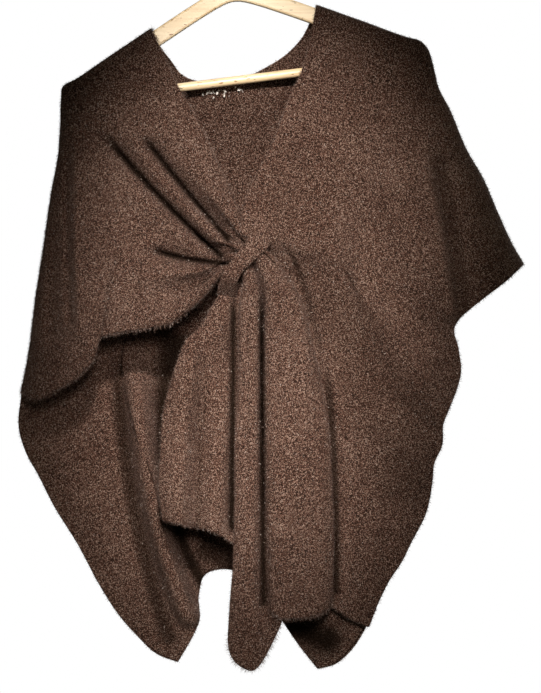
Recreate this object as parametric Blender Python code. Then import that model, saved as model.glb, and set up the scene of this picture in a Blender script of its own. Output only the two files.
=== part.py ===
"""A knitted wrap poncho on its wooden hanger, in metres, +Z up.

The origin is the inside top of the hanger's hook, where a rail holds it. +X is to the viewer's right, -Y
towards the viewer. The tables are in millimetres: x, drop (down from the origin) and y. The garment is one
back panel and two front panels, joined along the shoulder line from the neck to the wrists. The front on the
viewer's left is gathered, passes under the band of the other front and hangs down in the middle as the tail.
"""

from collections import namedtuple
from math import cos, hypot, pi, radians, sin

import bmesh
import bpy
import numpy as np
from mathutils import Vector

MM = 0.001
CLOTH = 3.0  # thickness of the fuzzy knit
SEAM = 0.3  # between pieces that are sewn or lie together
SHOULDER_SEAM = 0.5  # the same where their rims follow a bent line in short straight steps

# The hanger, in its own frame: a to its right, b up from the hold. It hangs tilted.
TILT = radians(7.2)
ARM_HALF_SPAN = 214.0
ARM_APEX = -81.7
ARM_SLOPE = -0.51
ARM_BEND = 18.0  # how round the arms meet in the middle
ARM_HALF_HEIGHT = 9.5
ARM_THICK = 12.0
ARM_STOPS = (0, 6, 13, 22, 35, 60, 120)  # along each arm, where its outline has points
HEEL_START = 186.0  # the lower corner at each arm's end that holds the bar
HEEL_BOTTOM = -193.0
HEEL_CHAMFER = (5.0, 3.0)  # along and up
ARM_EDGE_RADIUS = 2.5
BAR_AXIS = -184.5
BAR_RADIUS = 5.3
WIRE_RADIUS = 1.9
HOOK_INSIDE_RADIUS = 20.0

# The shoulder line. On the hanger it follows the arm, past the hanger's end it hangs free.
# middle: y of the line itself; turn: how far the cloth takes to round away from it; front and back: y of the
# two panels once they have rounded.
Shoulder = namedtuple("Shoulder", "x drop middle turn front back")
Point = namedtuple("Point", "x drop y")
Pleat = namedtuple("Pleat", "at start")
Fold = namedtuple("Fold", "x0 drop0 x1 drop1 x2 drop2 width0 width1 depth0 depth1")
BandRow = namedtuple("BandRow", "x drop y width")
TailRow = namedtuple("TailRow", "x drop turn right gap fold left front deep narrow_front")


def hanger(a, b):
    """The place (x, drop) of a point of the hanger's own frame."""
    return a * cos(TILT) - b * sin(TILT), -(a * sin(TILT) + b * cos(TILT))


def arm_middle(a):
    """The height b of the arms' middle line, straight but for the round bend at the hook."""
    return ARM_APEX + ARM_SLOPE * (hypot(a, ARM_BEND) - ARM_BEND)


def on_arm(a):
    """A row of the shoulder line where the cloth lies on the arm at a."""
    lift = (ARM_HALF_HEIGHT + 0.5 * CLOTH + 6 * SEAM) * hypot(1, ARM_SLOPE)
    x, drop = hanger(a, arm_middle(a) + lift)
    return Shoulder(x, drop, 0.0, 9.0, -12.0, 12.0)


LEFT_SHOULDER = [
    on_arm(-103),
    on_arm(-140),
    on_arm(-170),
    on_arm(-200),
    Shoulder(-192, 192, 0, 9, -12, 13),
    Shoulder(-194, 207, 1, 12, -13, 15),
    Shoulder(-195, 235, 4, 16, -15, 22),
    Shoulder(-198, 272, 9, 22, -19, 34),
    Shoulder(-207, 319, 16, 30, -23, 46),
    Shoulder(-217, 385, 24, 44, -26, 56),
    Shoulder(-226, 440, 30, 56, -28, 62),
    Shoulder(-236, 515, 33, 68, -28, 66),
    Shoulder(-244, 553, 34, 74, -28, 68),
]
RIGHT_SHOULDER = [
    on_arm(97),
    on_arm(150),
    on_arm(200),
    Shoulder(232, 138, 0, 9, -12, 12),
    Shoulder(241, 148, 0, 10, -12, 13),
    Shoulder(246, 163, 1, 13, -13, 15),
    Shoulder(254, 194, 5, 25, -15, 20),
    Shoulder(266, 216, 10, 36, -18, 28),
    Shoulder(289, 268, 20, 56, -21, 42),
    Shoulder(308, 300, 26, 64, -22, 50),
    Shoulder(324, 336, 31, 76, -22, 56),
    Shoulder(345, 381, 35, 90, -21, 60),
    Shoulder(357, 401, 36, 96, -20, 62),
]

# Back panel
NECKLINE = [
    Point(-79, 142, 12),
    Point(-65, 160, 12),
    Point(-52, 177, 13),
    Point(-30, 186, 14),
    Point(0, 188, 14),
    Point(28, 179, 14),
    Point(50, 168, 13),
    Point(72, 154, 12),
    Point(90, 136, 12),
]
BACK_LEFT_EDGE = [
    Point(-249, 600, 68),
    Point(-241, 628, 68),
    Point(-226, 655, 66),
    Point(-208, 690, 62),
    Point(-178, 738, 56),
    Point(-153, 784, 50),
    Point(-128, 822, 42),
    Point(-106, 846, 34),
    Point(-80, 869, 27),
    Point(-57, 877, 24),
]
BACK_HEM = [
    Point(-40, 848, 30),
    Point(-32, 830, 40),
    Point(-33, 800, 56),
    Point(-27, 778, 62),
    Point(10, 770, 58),
    Point(42, 790, 50),
    Point(67, 827, 44),
    Point(90, 860, 38),
    Point(111, 886, 34),
]
BACK_RIGHT_EDGE = [
    Point(318, 434, 58),
    Point(274, 478, 44),
    Point(268, 531, 34),
    Point(254, 600, 28),
    Point(236, 690, 28),
    Point(206, 755, 28),
    Point(182, 802, 26),
    Point(167, 838, 25),
    Point(150, 864, 27),
    Point(130, 881, 31),
    Point(111, 886, 34),
]

# Front on the viewer's left: gathered towards the band
GATHER_NECK_EDGE = [
    Point(-56, 193, -12),
    Point(-41, 219, -13),
    Point(-12, 279, -14),
    Point(11, 326, -15),
    Point(22, 352, -19),
]
GATHER_SIDE_EDGE = [
    Point(-226, 562, -28),
    Point(-196, 549, -29),
    Point(-171, 533, -29),
    Point(-153, 511, -29),
    Point(-146, 489, -25),
    Point(-126, 483, -24),
    Point(-94, 478, -24),
    Point(-64, 472, -26),
    Point(-46, 459, -28),
    Point(-24, 441, -29),
    Point(-6, 418, -28),
    Point(6, 409, -26),
]
BUNDLE = (24.5, 392)  # the gathers where they pass under the band: x and drop of their middle
BUNDLE_TURN = 32.0  # degrees below level, the way they run there
BUNDLE_HALF_HEIGHT = 16.0
BUNDLE_BACK = -25.0
BUNDLE_BULGE = 13.0
PLEAT_DEPTH = 8.0
PLEAT_STEEPNESS = 0.09  # how soon a wide pleat reaches that depth
PLEAT_CROWDING = 0.13  # how far points move to a pleat's steep sides
# The pleats, ridge and trough in turn. at: place across the front, 0 at the neck edge and 1 at the side
# edge; start: how far down the cloth it begins, 0 at the shoulder and 1 at the band.
PLEATS = [
    Pleat(0.08, 0.30),
    Pleat(0.24, 0.30),
    Pleat(0.38, 0.20),
    Pleat(0.51, 0.10),
    Pleat(0.66, 0.35),
    Pleat(0.80, 0.50),
    Pleat(0.93, 0.45),
]
GATHER_FOLDS = [
    Fold(-98, 250, -57, 304, -6, 362, 11, 9, 5, 9),
    Fold(-150, 244, -88, 314, -20, 380, 13, 9, 4, 9),
    Fold(-92, 386, -60, 395, -24, 399, 10, 8, 5, 8),
    Fold(-126, 238, -74, 294, -14, 362, 13, 9, -4, -4),
    Fold(-192, 236, -206, 340, -204, 480, 13, 18, 4, 12),
    Fold(-180, 330, -172, 420, -160, 500, 26, 24, -3, -7),
    Fold(-120, 300, -118, 400, -112, 480, 34, 26, 3, 5),
]

# Front on the viewer's right, with the slit's edge and the flap below the band
FRONT_INNER_EDGE = [
    Point(92, 174, -12),
    Point(77, 208, -13),
    Point(54, 267, -17),
    Point(30, 315, -23),
    Point(22, 342, -30),
    Point(22, 368, -38),
    Point(42, 375, -34),
    Point(54, 388, -20),
    Point(48, 410, -13),
    Point(28, 424, -13),
    Point(4, 428, -17),
    Point(-12, 450, -21),
    Point(-30, 480, -23),
    Point(-44, 492, -24),
    Point(-54, 515, -24),
    Point(-62, 541, -23),
    Point(-71, 573, -22),
    Point(-75, 625, -23),
    Point(-77, 670, -24),
    Point(-73, 705, -22),
]
FRONT_HEM = [
    Point(-56, 709, -27),
    Point(-36, 714, -15),
    Point(-16, 718, -24),
    Point(10, 733, -13),
    Point(48, 761, -10),
    Point(90, 790, -11),
    Point(128, 809, -14),
    Point(149, 823, -8),
    Point(171, 834, 0),
]
FRONT_SIDE_EDGE = [
    Point(335, 421, -20),
    Point(313, 438, -19),
    Point(290, 456, -18),
    Point(272, 474, -15),
    Point(277, 505, -8),
    Point(280, 531, 2),
    Point(277, 546, 5),
    Point(266, 574, -4),
    Point(259, 591, -9),
    Point(258, 618, -4),
    Point(248, 639, -9),
    Point(246, 660, -3),
    Point(238, 701, 3),
    Point(222, 732, 5),
    Point(210, 756, 3),
    Point(195, 779, 1),
    Point(184, 801, 2),
    Point(171, 834, 0),
]
FRONT_FOLDS = [
    Fold(254, 262, 274, 340, 298, 430, 15, 20, 4, 10),
    Fold(230, 250, 250, 340, 268, 460, 13, 13, -2, -5),
    Fold(45, 420, 40, 560, 70, 770, 40, 46, 10, 9),
    Fold(120, 470, 190, 555, 262, 640, 22, 26, 3, 7),
    Fold(100, 300, 150, 430, 235, 540, 40, 36, -3, -6),
    Fold(-40, 470, -52, 580, -50, 705, 10, 14, -4, -7),
    Fold(-22, 480, -30, 590, -30, 712, 9, 11, 4, 8),
    Fold(200, 180, 214, 300, 232, 440, 24, 34, -3, -8),
    Fold(150, 560, 168, 690, 160, 820, 30, 26, 2, 8),
]
BACK_FOLDS = [
    Fold(-112, 500, -96, 620, -50, 810, 26, 20, -34, -30),
    Fold(-70, 480, -50, 620, -10, 770, 20, 24, 8, 12),
    Fold(-205, 480, -180, 620, -110, 780, 34, 30, 10, 14),
    Fold(-100, 230, -110, 360, -100, 520, 40, 34, 8, 14),
    Fold(120, 190, 150, 380, 150, 600, 46, 40, 9, 16),
    Fold(20, 230, 30, 430, 40, 740, 44, 40, -4, -8),
    Fold(210, 260, 205, 420, 190, 640, 36, 34, -6, -12),
    Fold(100, 520, 110, 680, 120, 850, 24, 26, -6, -14),
]

# The tail, from the band to its hem. x, drop and turn place a row's middle and say how far it has turned to
# hang straight down (90). right, gap, fold and left are measured across from the middle: the wide strand's
# two edges, the fold between the strands, and the narrow strand's far edge. front, deep and narrow_front are
# y: of the wide strand, of the fold and of the narrow strand.
TAIL_ROWS = [
    TailRow(34, 399, 50, 17, 0, -4, -17, -41, -26, -37),
    TailRow(44, 417, 74, 25, -1, -6, -22, -49, -28, -41),
    TailRow(51, 445, 90, 38, -2, -7, -31, -53, -28, -44),
    TailRow(51, 490, 90, 50, -3, -7, -33, -54, -28, -45),
    TailRow(51, 541, 90, 62, -4, -7, -33, -54, -28, -45),
    TailRow(51, 600, 90, 71, -2, -7, -37, -54, -29, -44),
    TailRow(51, 670, 90, 75, -1, -5, -38, -54, -31, -41),
    TailRow(51, 730, 90, 77, 0, 2, -40, -54, -35, -38),
    TailRow(51, 775, 90, 76, 0, 11, -44, -54, -38, -36),
    TailRow(51, 808, 90, 74, 1, 16, -46, -54, -38, -35),
]
TAIL_BACK = -22.0
TAIL_HEM_LEVEL = 808.0
TAIL_HEM_START = 0.375  # how far down the tail its rows begin to bend to the hem's line
# The hem's drop at each of the thirteen points across, from the wide strand's hidden edge to the narrow's.
TAIL_HEM = (796, 800, 804, 812, 818, 815, 808, 822, 846, 882, 838, 800, 772)

# The band: its middle line over the gathers. The ends' y comes from the front that they lie on.
BAND_PATH = [
    BandRow(46, 368, 0, 27),
    BandRow(39, 379, -43.5, 24),
    BandRow(27, 393, -46.5, 20),
    BandRow(14, 407, -45.5, 18),
    BandRow(6, 421, -41.5, 19),
    BandRow(3, 440, 0, 24),
]
BAND_END_REACH = 25.0  # how far round its middle each end touches the front
BAND_END_LIFT = 1.7  # how far in front of the foremost place there an end's middle is

SHOULDER_DIRECTION = np.array([0, 1, 0])  # the panels meet face to face along y there
END_ROW = 4  # the row of each shoulder table at the hanger's end, where the back panel has its corner

# How many columns and rows of points each piece has
ARM_COLUMNS = 10
DRAPE_ROWS = 19
FREE_ROWS = 12
GATHER_COLUMNS = 43
GATHER_ROWS = 20
FRONT_COLUMNS = 28
FRONT_ROWS = 28
TAIL_COLUMNS = 40
TAIL_LENGTHS = 21
BAND_COLUMNS = 5
BAND_LENGTHS = 14
NECK_FRACTIONS = np.concatenate([[0.012, 0.03, 0.06], np.linspace(0.13, 0.87, 9), [0.94, 0.97, 0.988]])
DOWN_POWER = 1.9  # how far a front's rows crowd to the shoulder, where it rounds over
CORNER_POWER = 1.8  # how far the back's rows and columns crowd to its corners at the hanger's ends


def through(knots, values, at):
    """A smooth curve through values at the knots (Hermite, slopes from the neighbours), read at `at`."""
    p = np.asarray(values, float)
    s = np.asarray(knots, float)
    t = np.asarray(at, float)
    wide = (slice(None),) + (None,) * (p.ndim - 1)
    gap = np.diff(s)[wide]
    slope = np.diff(p, axis=0) / gap
    inner = (gap[1:] * slope[:-1] + gap[:-1] * slope[1:]) / (gap[:-1] + gap[1:])
    tangent = np.concatenate([slope[:1], inner, slope[-1:]])
    i = np.clip(np.searchsorted(s, t, side="right") - 1, 0, len(s) - 2)
    h = gap[i]
    f = (t - s[i])[wide] / h
    return (
        (2 * f**3 - 3 * f**2 + 1) * p[i]
        + (f**3 - 2 * f**2 + f) * h * tangent[i]
        + (3 * f**2 - 2 * f**3) * p[i + 1]
        + (f**3 - f**2) * h * tangent[i + 1]
    )


def spline(table, at):
    """Points at fractions of the length of a smooth curve through the table's rows."""
    p = np.array(table, float)
    chord = np.linalg.norm(np.diff(p[:, :2], axis=0), axis=1)
    knots = np.concatenate([[0], np.cumsum(chord)]) / chord.sum()
    return through(knots, p, at)


def evenly(n):
    return np.linspace(0, 1, n)


def soft_step(t):
    t = np.clip(t, 0, 1)
    return t * t * (3 - 2 * t)


def add_folds(sheet, folds):
    """Moves a sheet's y by its folds: each a rounded trough (depth over 0) or ridge along a bent line."""
    t = evenly(25)
    for f in folds:
        line_x = (1 - t) ** 2 * f.x0 + 2 * t * (1 - t) * f.x1 + t**2 * f.x2
        line_drop = (1 - t) ** 2 * f.drop0 + 2 * t * (1 - t) * f.drop1 + t**2 * f.drop2
        far = np.hypot(sheet[..., 0, None] - line_x, sheet[..., 1, None] - line_drop)
        along = t[far.argmin(-1)]
        width = f.width0 + (f.width1 - f.width0) * along
        depth = f.depth0 + (f.depth1 - f.depth0) * along
        sheet[..., 2] += depth * np.exp(-((far.min(-1) / width) ** 2)) * soft_step(5 * along)


def crowded(n, power):
    """Fractions from 0 to 1 that lie closer together at the start."""
    return evenly(n) ** power


def fractions(points):
    """How far along its length each point of a line is."""
    along = np.cumsum(np.linalg.norm(np.diff(points[:, :2], axis=0), axis=1))
    return np.concatenate([[0], along / along[-1]])


def patch(top, bottom, first, last, u, v):
    """A sheet spanned between four edges, as [row, column, (x, drop, y)].

    Each point is on the straight line between the first and the last column, plus what the top and the
    bottom row bow away from theirs.
    """
    top_bow = top - (1 - u)[:, None] * top[0] - u[:, None] * top[-1]
    bottom_bow = bottom - (1 - u)[:, None] * bottom[0] - u[:, None] * bottom[-1]
    u = u[None, :, None]
    v = v[:, None, None]
    return (1 - u) * first[:, None] + u * last[:, None] + (1 - v) * top_bow + v * bottom_bow


def round_over(sheet, lines):
    """Turns a sheet round to the shoulder lines, each with the columns x, drop, y and turn.

    Near a line the sheet's y goes to the line's own on a quarter of an ellipse.
    """
    place = sheet[..., None, :2]
    for line in lines:
        start, way = line[:-1], np.diff(line, axis=0)
        along = ((place - start[:, :2]) * way[:, :2]).sum(-1) / (way[:, :2] ** 2).sum(-1)
        nearest = start + np.clip(along, 0, 1)[..., None] * way
        far = np.linalg.norm(place - nearest[..., :2], axis=-1)
        i = far.argmin(-1)[..., None]
        far = np.take_along_axis(far, i, -1)[..., 0]
        nearest = np.take_along_axis(nearest, i[..., None], -2)[..., 0, :]
        reach = np.clip(far / nearest[..., 3], 0, 1)
        middle = nearest[..., 2]
        turned = middle + (sheet[..., 2] - middle) * np.sqrt(1 - (1 - reach) ** 2)
        sheet[..., 2] = np.where(reach < 1, turned, sheet[..., 2])


def to_world(sheet):
    """From (x, drop, y) in millimetres to metres."""
    return np.stack([sheet[..., 0], sheet[..., 2], -sheet[..., 1]], axis=-1) * MM


def unit(v):
    return v / np.linalg.norm(v, axis=-1, keepdims=True)


def flattened(normal, direction):
    """Normals with no part along a direction, so that a rim there is square to it."""
    return unit(normal - (normal @ direction)[..., None] * direction)


def sheet_normals(world):
    return unit(np.cross(np.gradient(world, axis=1), np.gradient(world, axis=0)))


def wall(world, normal):
    """The closed wall around a sheet: its two faces and its rim."""
    rows, columns = world.shape[:2]
    half = 0.5 * CLOTH * MM * normal
    points = np.concatenate([(world + half).reshape(-1, 3), (world - half).reshape(-1, 3)])
    i = np.arange(rows * columns).reshape(rows, columns)
    under = rows * columns
    a, b = i[:-1, :-1].ravel(), i[:-1, 1:].ravel()
    c, d = i[1:, 1:].ravel(), i[1:, :-1].ravel()
    rim = np.concatenate([i[0, :], i[1:, -1], i[-1, -2::-1], i[-2:0:-1, 0]])
    after = np.roll(rim, -1)
    faces = [
        np.stack([a, b, c, d], 1),
        np.stack([a, d, c, b], 1) + under,
        np.stack([after, rim, rim + under, after + under], 1),
    ]
    return points, np.concatenate(faces)


def material(name, colour, roughness, metallic=0.0):
    look = bpy.data.materials.new(name)
    look.use_nodes = True
    shader = look.node_tree.nodes["Principled BSDF"]
    shader.inputs["Base Color"].default_value = (*colour, 1)
    shader.inputs["Roughness"].default_value = roughness
    shader.inputs["Metallic"].default_value = metallic
    return look


def link(name, data, look):
    data.materials.append(look)
    piece = bpy.data.objects.new(name, data)
    bpy.context.collection.objects.link(piece)
    return piece


def add_wall(name, world, normal, look):
    points, faces = wall(world, normal)
    mesh = bpy.data.meshes.new(name)
    mesh.from_pydata(points.tolist(), [], faces.tolist())
    mesh.update()
    mesh.shade_smooth()
    return link(name, mesh, look)


def shoulder_parts(table):
    """The shoulder line's rows from the neck to the hanger's end, and from there to the wrist."""
    on_hanger = spline(table[: END_ROW + 1], 1 - crowded(ARM_COLUMNS, CORNER_POWER)[::-1])
    return on_hanger, spline(table[END_ROW:], crowded(DRAPE_ROWS, CORNER_POWER))


def back_panel(look):
    left_arm, left_drape = shoulder_parts(LEFT_SHOULDER)
    right_arm, right_drape = shoulder_parts(RIGHT_SHOULDER)
    level = [0, 1, 5]
    neck_ends = [left_arm[:1, level], right_arm[:1, level]]
    neck = spline(np.vstack([neck_ends[0], NECKLINE, neck_ends[1]]), NECK_FRACTIONS)
    top = np.vstack([left_arm[:0:-1, level], neck_ends[0], neck, neck_ends[1], right_arm[1:, level]])
    free = evenly(FREE_ROWS + 1)[1:]
    first = np.vstack([left_drape[:, level], spline([left_drape[-1, level], *BACK_LEFT_EDGE], free)])
    last = np.vstack([right_drape[:, level], spline([right_drape[-1, level], *BACK_RIGHT_EDGE], free)])
    u = fractions(top)
    bottom = spline([BACK_LEFT_EDGE[-1], *BACK_HEM], u)
    sheet = patch(top, bottom, first, last, u, 0.5 * (fractions(first) + fractions(last)))
    add_folds(sheet, BACK_FOLDS)
    lines = []
    for arm, drape in ((left_arm, left_drape), (right_arm, right_drape)):
        line = np.vstack([arm, drape[1:]])[:, :4]
        line[:, 2] += 0.5 * SHOULDER_SEAM
        lines.append(line)
    round_over(sheet, lines)
    world = to_world(sheet)
    normal = sheet_normals(world)
    arms = (normal[0, :ARM_COLUMNS], normal[0, -ARM_COLUMNS:])
    drapes = (normal[:DRAPE_ROWS, 0], normal[:DRAPE_ROWS, -1])
    for edge in (*arms, *drapes):
        edge[:] = flattened(edge, SHOULDER_DIRECTION)
    return add_wall("back_panel", world, normal, look)


def bundle_place(across, ahead=0.0):
    """(x, drop) of a place in the gathers under the band: across from their middle, and ahead along them."""
    turn = radians(BUNDLE_TURN)
    x = BUNDLE[0] + across * sin(turn) + ahead * cos(turn)
    drop = BUNDLE[1] - across * cos(turn) + ahead * sin(turn)
    return x, drop


def bundle_direction():
    turn = radians(BUNDLE_TURN)
    return np.array([cos(turn), 0, -sin(turn)])


def bundle_section(u, ahead=0.0):
    """The gathers' section under the band, bulging forward, without its pleats."""
    x, drop = bundle_place(BUNDLE_HALF_HEIGHT * (1 - 2 * u), ahead)
    return np.column_stack([x, drop, BUNDLE_BACK - BUNDLE_BULGE * (1 - (1 - 2 * u) ** 2)])


def add_pleats(sheet, down):
    """Pleats that deepen towards the band: y follows a cosine, and the points crowd to its steep sides."""
    rows, columns = sheet.shape[:2]
    u = evenly(columns)
    at = np.array([p.at for p in PLEATS])
    phase = np.interp(u, at, np.arange(len(at)))
    phase = np.where(u < at[0], (u - at[0]) / (2 * at[0]), phase)
    phase = np.where(u > at[-1], len(at) - 1 + (u - at[-1]) / (2 * (1 - at[-1])), phase)
    step = np.gradient(u, phase)
    start = np.interp(u, at, [p.start for p in PLEATS])
    for r in range(rows):
        grown = soft_step((down[r] - start) / (1 - start))
        wide = np.linalg.norm(np.diff(sheet[r, :, :2], axis=0), axis=1).sum()
        depth = PLEAT_DEPTH * np.tanh(PLEAT_STEEPNESS * wide * step) * grown
        crowd = u + step * grown * PLEAT_CROWDING * np.sin(2 * pi * phase)
        for k in range(3):
            sheet[r, :, k] = np.interp(crowd, u, sheet[r, :, k])
        sheet[r, :, 2] -= depth * np.cos(pi * phase)


def front_patch(table, columns, rows, edges, bottom, folds):
    """A front panel's sheet, hung from a shoulder line, and how far down each row is."""
    line = spline(table, evenly(columns))
    top = line[:, [0, 1, 4]]
    down = crowded(rows, DOWN_POWER)
    first, last = (spline([top[k], *edge, bottom[k]], down) for k, edge in zip((0, -1), edges))
    sheet = patch(top, bottom, first, last, evenly(columns), down)
    add_folds(sheet, folds)
    line[:, 2] -= 0.5 * SHOULDER_SEAM
    return sheet, down, line[:, :4]


def right_front(look):
    """The front on the wearer's right, the viewer's left. Column 0 is its neck edge."""
    bottom = bundle_section(evenly(GATHER_COLUMNS))
    edges = (GATHER_NECK_EDGE, GATHER_SIDE_EDGE)
    sheet, down, line = front_patch(
        LEFT_SHOULDER, GATHER_COLUMNS, GATHER_ROWS, edges, bottom, GATHER_FOLDS
    )
    add_pleats(sheet, down)
    round_over(sheet, [line])
    world = to_world(sheet)
    normal = sheet_normals(world)
    normal[0] = flattened(normal[0], SHOULDER_DIRECTION)
    normal[-1] = flattened(normal[-1], bundle_direction())
    return add_wall("right_front", world, normal, look)


def left_front_sheet():
    """The front on the viewer's right. Column 0 is its neck edge and, below the slit, the flap's."""
    bottom = spline([FRONT_INNER_EDGE[-1], *FRONT_HEM], evenly(FRONT_COLUMNS))
    edges = (FRONT_INNER_EDGE[:-1], FRONT_SIDE_EDGE[:-1])
    sheet, down, line = front_patch(
        RIGHT_SHOULDER, FRONT_COLUMNS, FRONT_ROWS, edges, bottom, FRONT_FOLDS
    )
    round_over(sheet, [line])
    return sheet


def left_front(sheet, look):
    world = to_world(sheet)
    normal = sheet_normals(world)
    normal[0] = flattened(normal[0], SHOULDER_DIRECTION)
    return add_wall("left_front", world, normal, look)


def tail_section(row):
    """Thirteen places across the tail: (across, y). It turns back behind each strand's outer edge."""
    wide = row.right - row.gap
    narrow = row.fold - row.left
    near = row.narrow_front
    return np.array([
        (row.right - 0.36 * wide, TAIL_BACK),
        (row.right - 0.05 * wide, TAIL_BACK - 7),
        (row.right, TAIL_BACK - 16),
        (row.right - 0.13 * wide, row.front + 5),
        (row.right - 0.5 * wide, row.front),
        (row.gap + 0.12 * wide, row.front + 3),
        (row.gap, row.front + 9),
        (row.fold, row.deep),
        (row.fold - 0.15 * narrow, near + 5),
        (row.fold - 0.6 * narrow, near),
        (row.left, near + 6),
        (row.left + 0.12 * narrow, TAIL_BACK - 4),
        (row.left + 0.5 * narrow, TAIL_BACK),
    ])


def tail(look):
    """The gathers from the band to the hem. Column 0 is behind the wide strand, the last the narrow one."""
    u = evenly(TAIL_COLUMNS)
    start = bundle_section(u, SEAM)[:, None].transpose(1, 0, 2)
    add_pleats(start, np.ones(1))
    sections = [start[0]]
    hem = [np.full(TAIL_COLUMNS, TAIL_HEM_LEVEL)]
    for row in TAIL_ROWS:
        points = tail_section(row)
        section = spline(points, u)
        turn = radians(row.turn)
        x = row.x + section[:, 0] * sin(turn)
        drop = row.drop - section[:, 0] * cos(turn)
        sections.append(np.column_stack([x, drop, section[:, 1]]))
        chord = np.linalg.norm(np.diff(points, axis=0), axis=1)
        hem.append(through(np.concatenate([[0], np.cumsum(chord)]) / chord.sum(), TAIL_HEM, u))
    middles = np.array([BUNDLE, *[(row.x, row.drop) for row in TAIL_ROWS]])
    along = np.concatenate([[0], np.cumsum(np.linalg.norm(np.diff(middles, axis=0), axis=1))])
    along /= along[-1]
    down = evenly(TAIL_LENGTHS)
    sheet = through(along, sections, down)
    bend = soft_step((down - TAIL_HEM_START) / (1 - TAIL_HEM_START))
    sheet[..., 1] += (through(along, hem, down) - TAIL_HEM_LEVEL) * bend[:, None]
    world = to_world(sheet)
    normal = sheet_normals(world)
    normal[0] = flattened(normal[0], bundle_direction())
    return add_wall("tail", world, normal, look)


def lying_on(sheet, row):
    """The y of a band's end that lies on a sheet."""
    near = np.hypot(sheet[..., 0] - row.x, sheet[..., 1] - row.drop) < BAND_END_REACH
    return sheet[..., 2][near].min() - BAND_END_LIFT


def loop_band(front, look):
    """The strip of the left front beside its slit, which holds the gathers. Its ends lie on that front."""
    start, *over, end = BAND_PATH
    path = [start._replace(y=lying_on(front, start)), *over, end._replace(y=lying_on(front, end))]
    middle = spline(path, evenly(BAND_LENGTHS))
    way = np.gradient(middle[:, :2], axis=0)
    side = unit(np.column_stack([way[:, 1], -way[:, 0]]))
    across = middle[:, 3:] * np.linspace(-0.5, 0.5, BAND_COLUMNS)
    sheet = np.empty((BAND_LENGTHS, BAND_COLUMNS, 3))
    sheet[..., :2] = middle[:, None, :2] + side[:, None] * across[..., None]
    sheet[..., 2] = middle[:, 2:3]
    world = to_world(sheet)
    return add_wall("loop_band", world, sheet_normals(world), look)


def hanger_point(a, b, y):
    x, drop = hanger(a, b)
    return Vector((x, y, -drop)) * MM


def arm_outline():
    """The outline of the two arms, one side mirrored: over the top, round the end, under with the heel."""
    half = []
    for a in (*ARM_STOPS, 195):
        slope = ARM_SLOPE * a / hypot(a, ARM_BEND)
        up = unit(np.array([-slope, 1.0]))
        half.append(np.array([a, arm_middle(a)]) + ARM_HALF_HEIGHT * up)
    end_a = ARM_HALF_SPAN - ARM_HALF_HEIGHT
    end = np.array([end_a, arm_middle(end_a)])
    for degrees in (60, 35, 10, -15, -40):
        half.append(end + ARM_HALF_HEIGHT * np.array([cos(radians(degrees)), sin(radians(degrees))]))
    along, up = HEEL_CHAMFER
    half += [np.array([end_a, HEEL_BOTTOM + up]), np.array([end_a - along, HEEL_BOTTOM])]
    half.append(np.array([HEEL_START, HEEL_BOTTOM]))
    for a in (HEEL_START, *ARM_STOPS[::-1]):
        slope = ARM_SLOPE * a / hypot(a, ARM_BEND)
        height = ARM_HALF_HEIGHT * hypot(1, slope)
        half.append(np.array([a, arm_middle(a) - height]))
    other = [np.array([-p[0], p[1]]) for p in half[1:-1]]
    return half + other[::-1]


def hanger_body(look):
    """Both arms in one piece: their outline, extruded through the thickness, with rounded edges."""
    bm = bmesh.new()
    outline = [bm.verts.new(hanger_point(a, b, -0.5 * ARM_THICK)) for a, b in arm_outline()]
    face = bm.faces.new(outline)
    made = bmesh.ops.extrude_face_region(bm, geom=[face])
    moved = [v for v in made["geom"] if isinstance(v, bmesh.types.BMVert)]
    bmesh.ops.translate(bm, verts=moved, vec=(0, ARM_THICK * MM, 0))
    rims = [e for e in bm.edges if abs(e.verts[0].co.y - e.verts[1].co.y) < 0.001 * MM]
    bmesh.ops.bevel(bm, geom=rims, offset=ARM_EDGE_RADIUS * MM, segments=2, profile=0.5, affect="EDGES")
    bmesh.ops.recalc_face_normals(bm, faces=bm.faces)
    mesh = bpy.data.meshes.new("hanger_body")
    bm.to_mesh(mesh)
    bm.free()
    mesh.shade_smooth()
    mesh.set_sharp_from_angle(angle=radians(35))
    return link("hanger_body", mesh, look)


def rod(name, path, radius, sides, look):
    """A round rod with flat ends along points of the hanger's plane."""
    curve = bpy.data.curves.new(name, "CURVE")
    curve.dimensions = "3D"
    curve.bevel_depth = radius * MM
    curve.bevel_resolution = sides // 4
    curve.use_fill_caps = True
    line = curve.splines.new("POLY")
    line.points.add(len(path) - 1)
    for point, (a, b) in zip(line.points, path):
        point.co = (*hanger_point(a, b, 0), 1)
    return link(name, curve, look)


def hook_path():
    """Up from the arms and round the rail's place, open below on one side."""
    radius = HOOK_INSIDE_RADIUS + WIRE_RADIUS
    foot = ARM_APEX + ARM_HALF_HEIGHT + SEAM
    path = [(0, foot), (0, foot + 10), (0, foot + 19), (2, foot + 24), (6, foot + 28.5)]
    for degrees in np.linspace(-55, 215, 20):
        angle = radians(degrees)
        path.append((radius * cos(angle), radius * sin(angle) - HOOK_INSIDE_RADIUS))
    return path


def main():
    for old in list(bpy.data.objects):
        bpy.data.objects.remove(old)
    knit = material("brown_knit", (0.075, 0.042, 0.032), 0.95)
    wood = material("pale_wood", (0.78, 0.56, 0.33), 0.45)
    steel = material("steel_wire", (0.62, 0.62, 0.62), 0.3, 1.0)
    back_panel(knit)
    right_front(knit)
    front = left_front_sheet()
    left_front(front, knit)
    tail(knit)
    loop_band(front, knit)
    hanger_body(wood)
    bar_reach = HEEL_START - SEAM
    rod("hanger_bar", [(-bar_reach, BAR_AXIS), (bar_reach, BAR_AXIS)], BAR_RADIUS, 16, wood)
    rod("hanger_hook", hook_path(), WIRE_RADIUS, 8, steel)


main()
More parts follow.
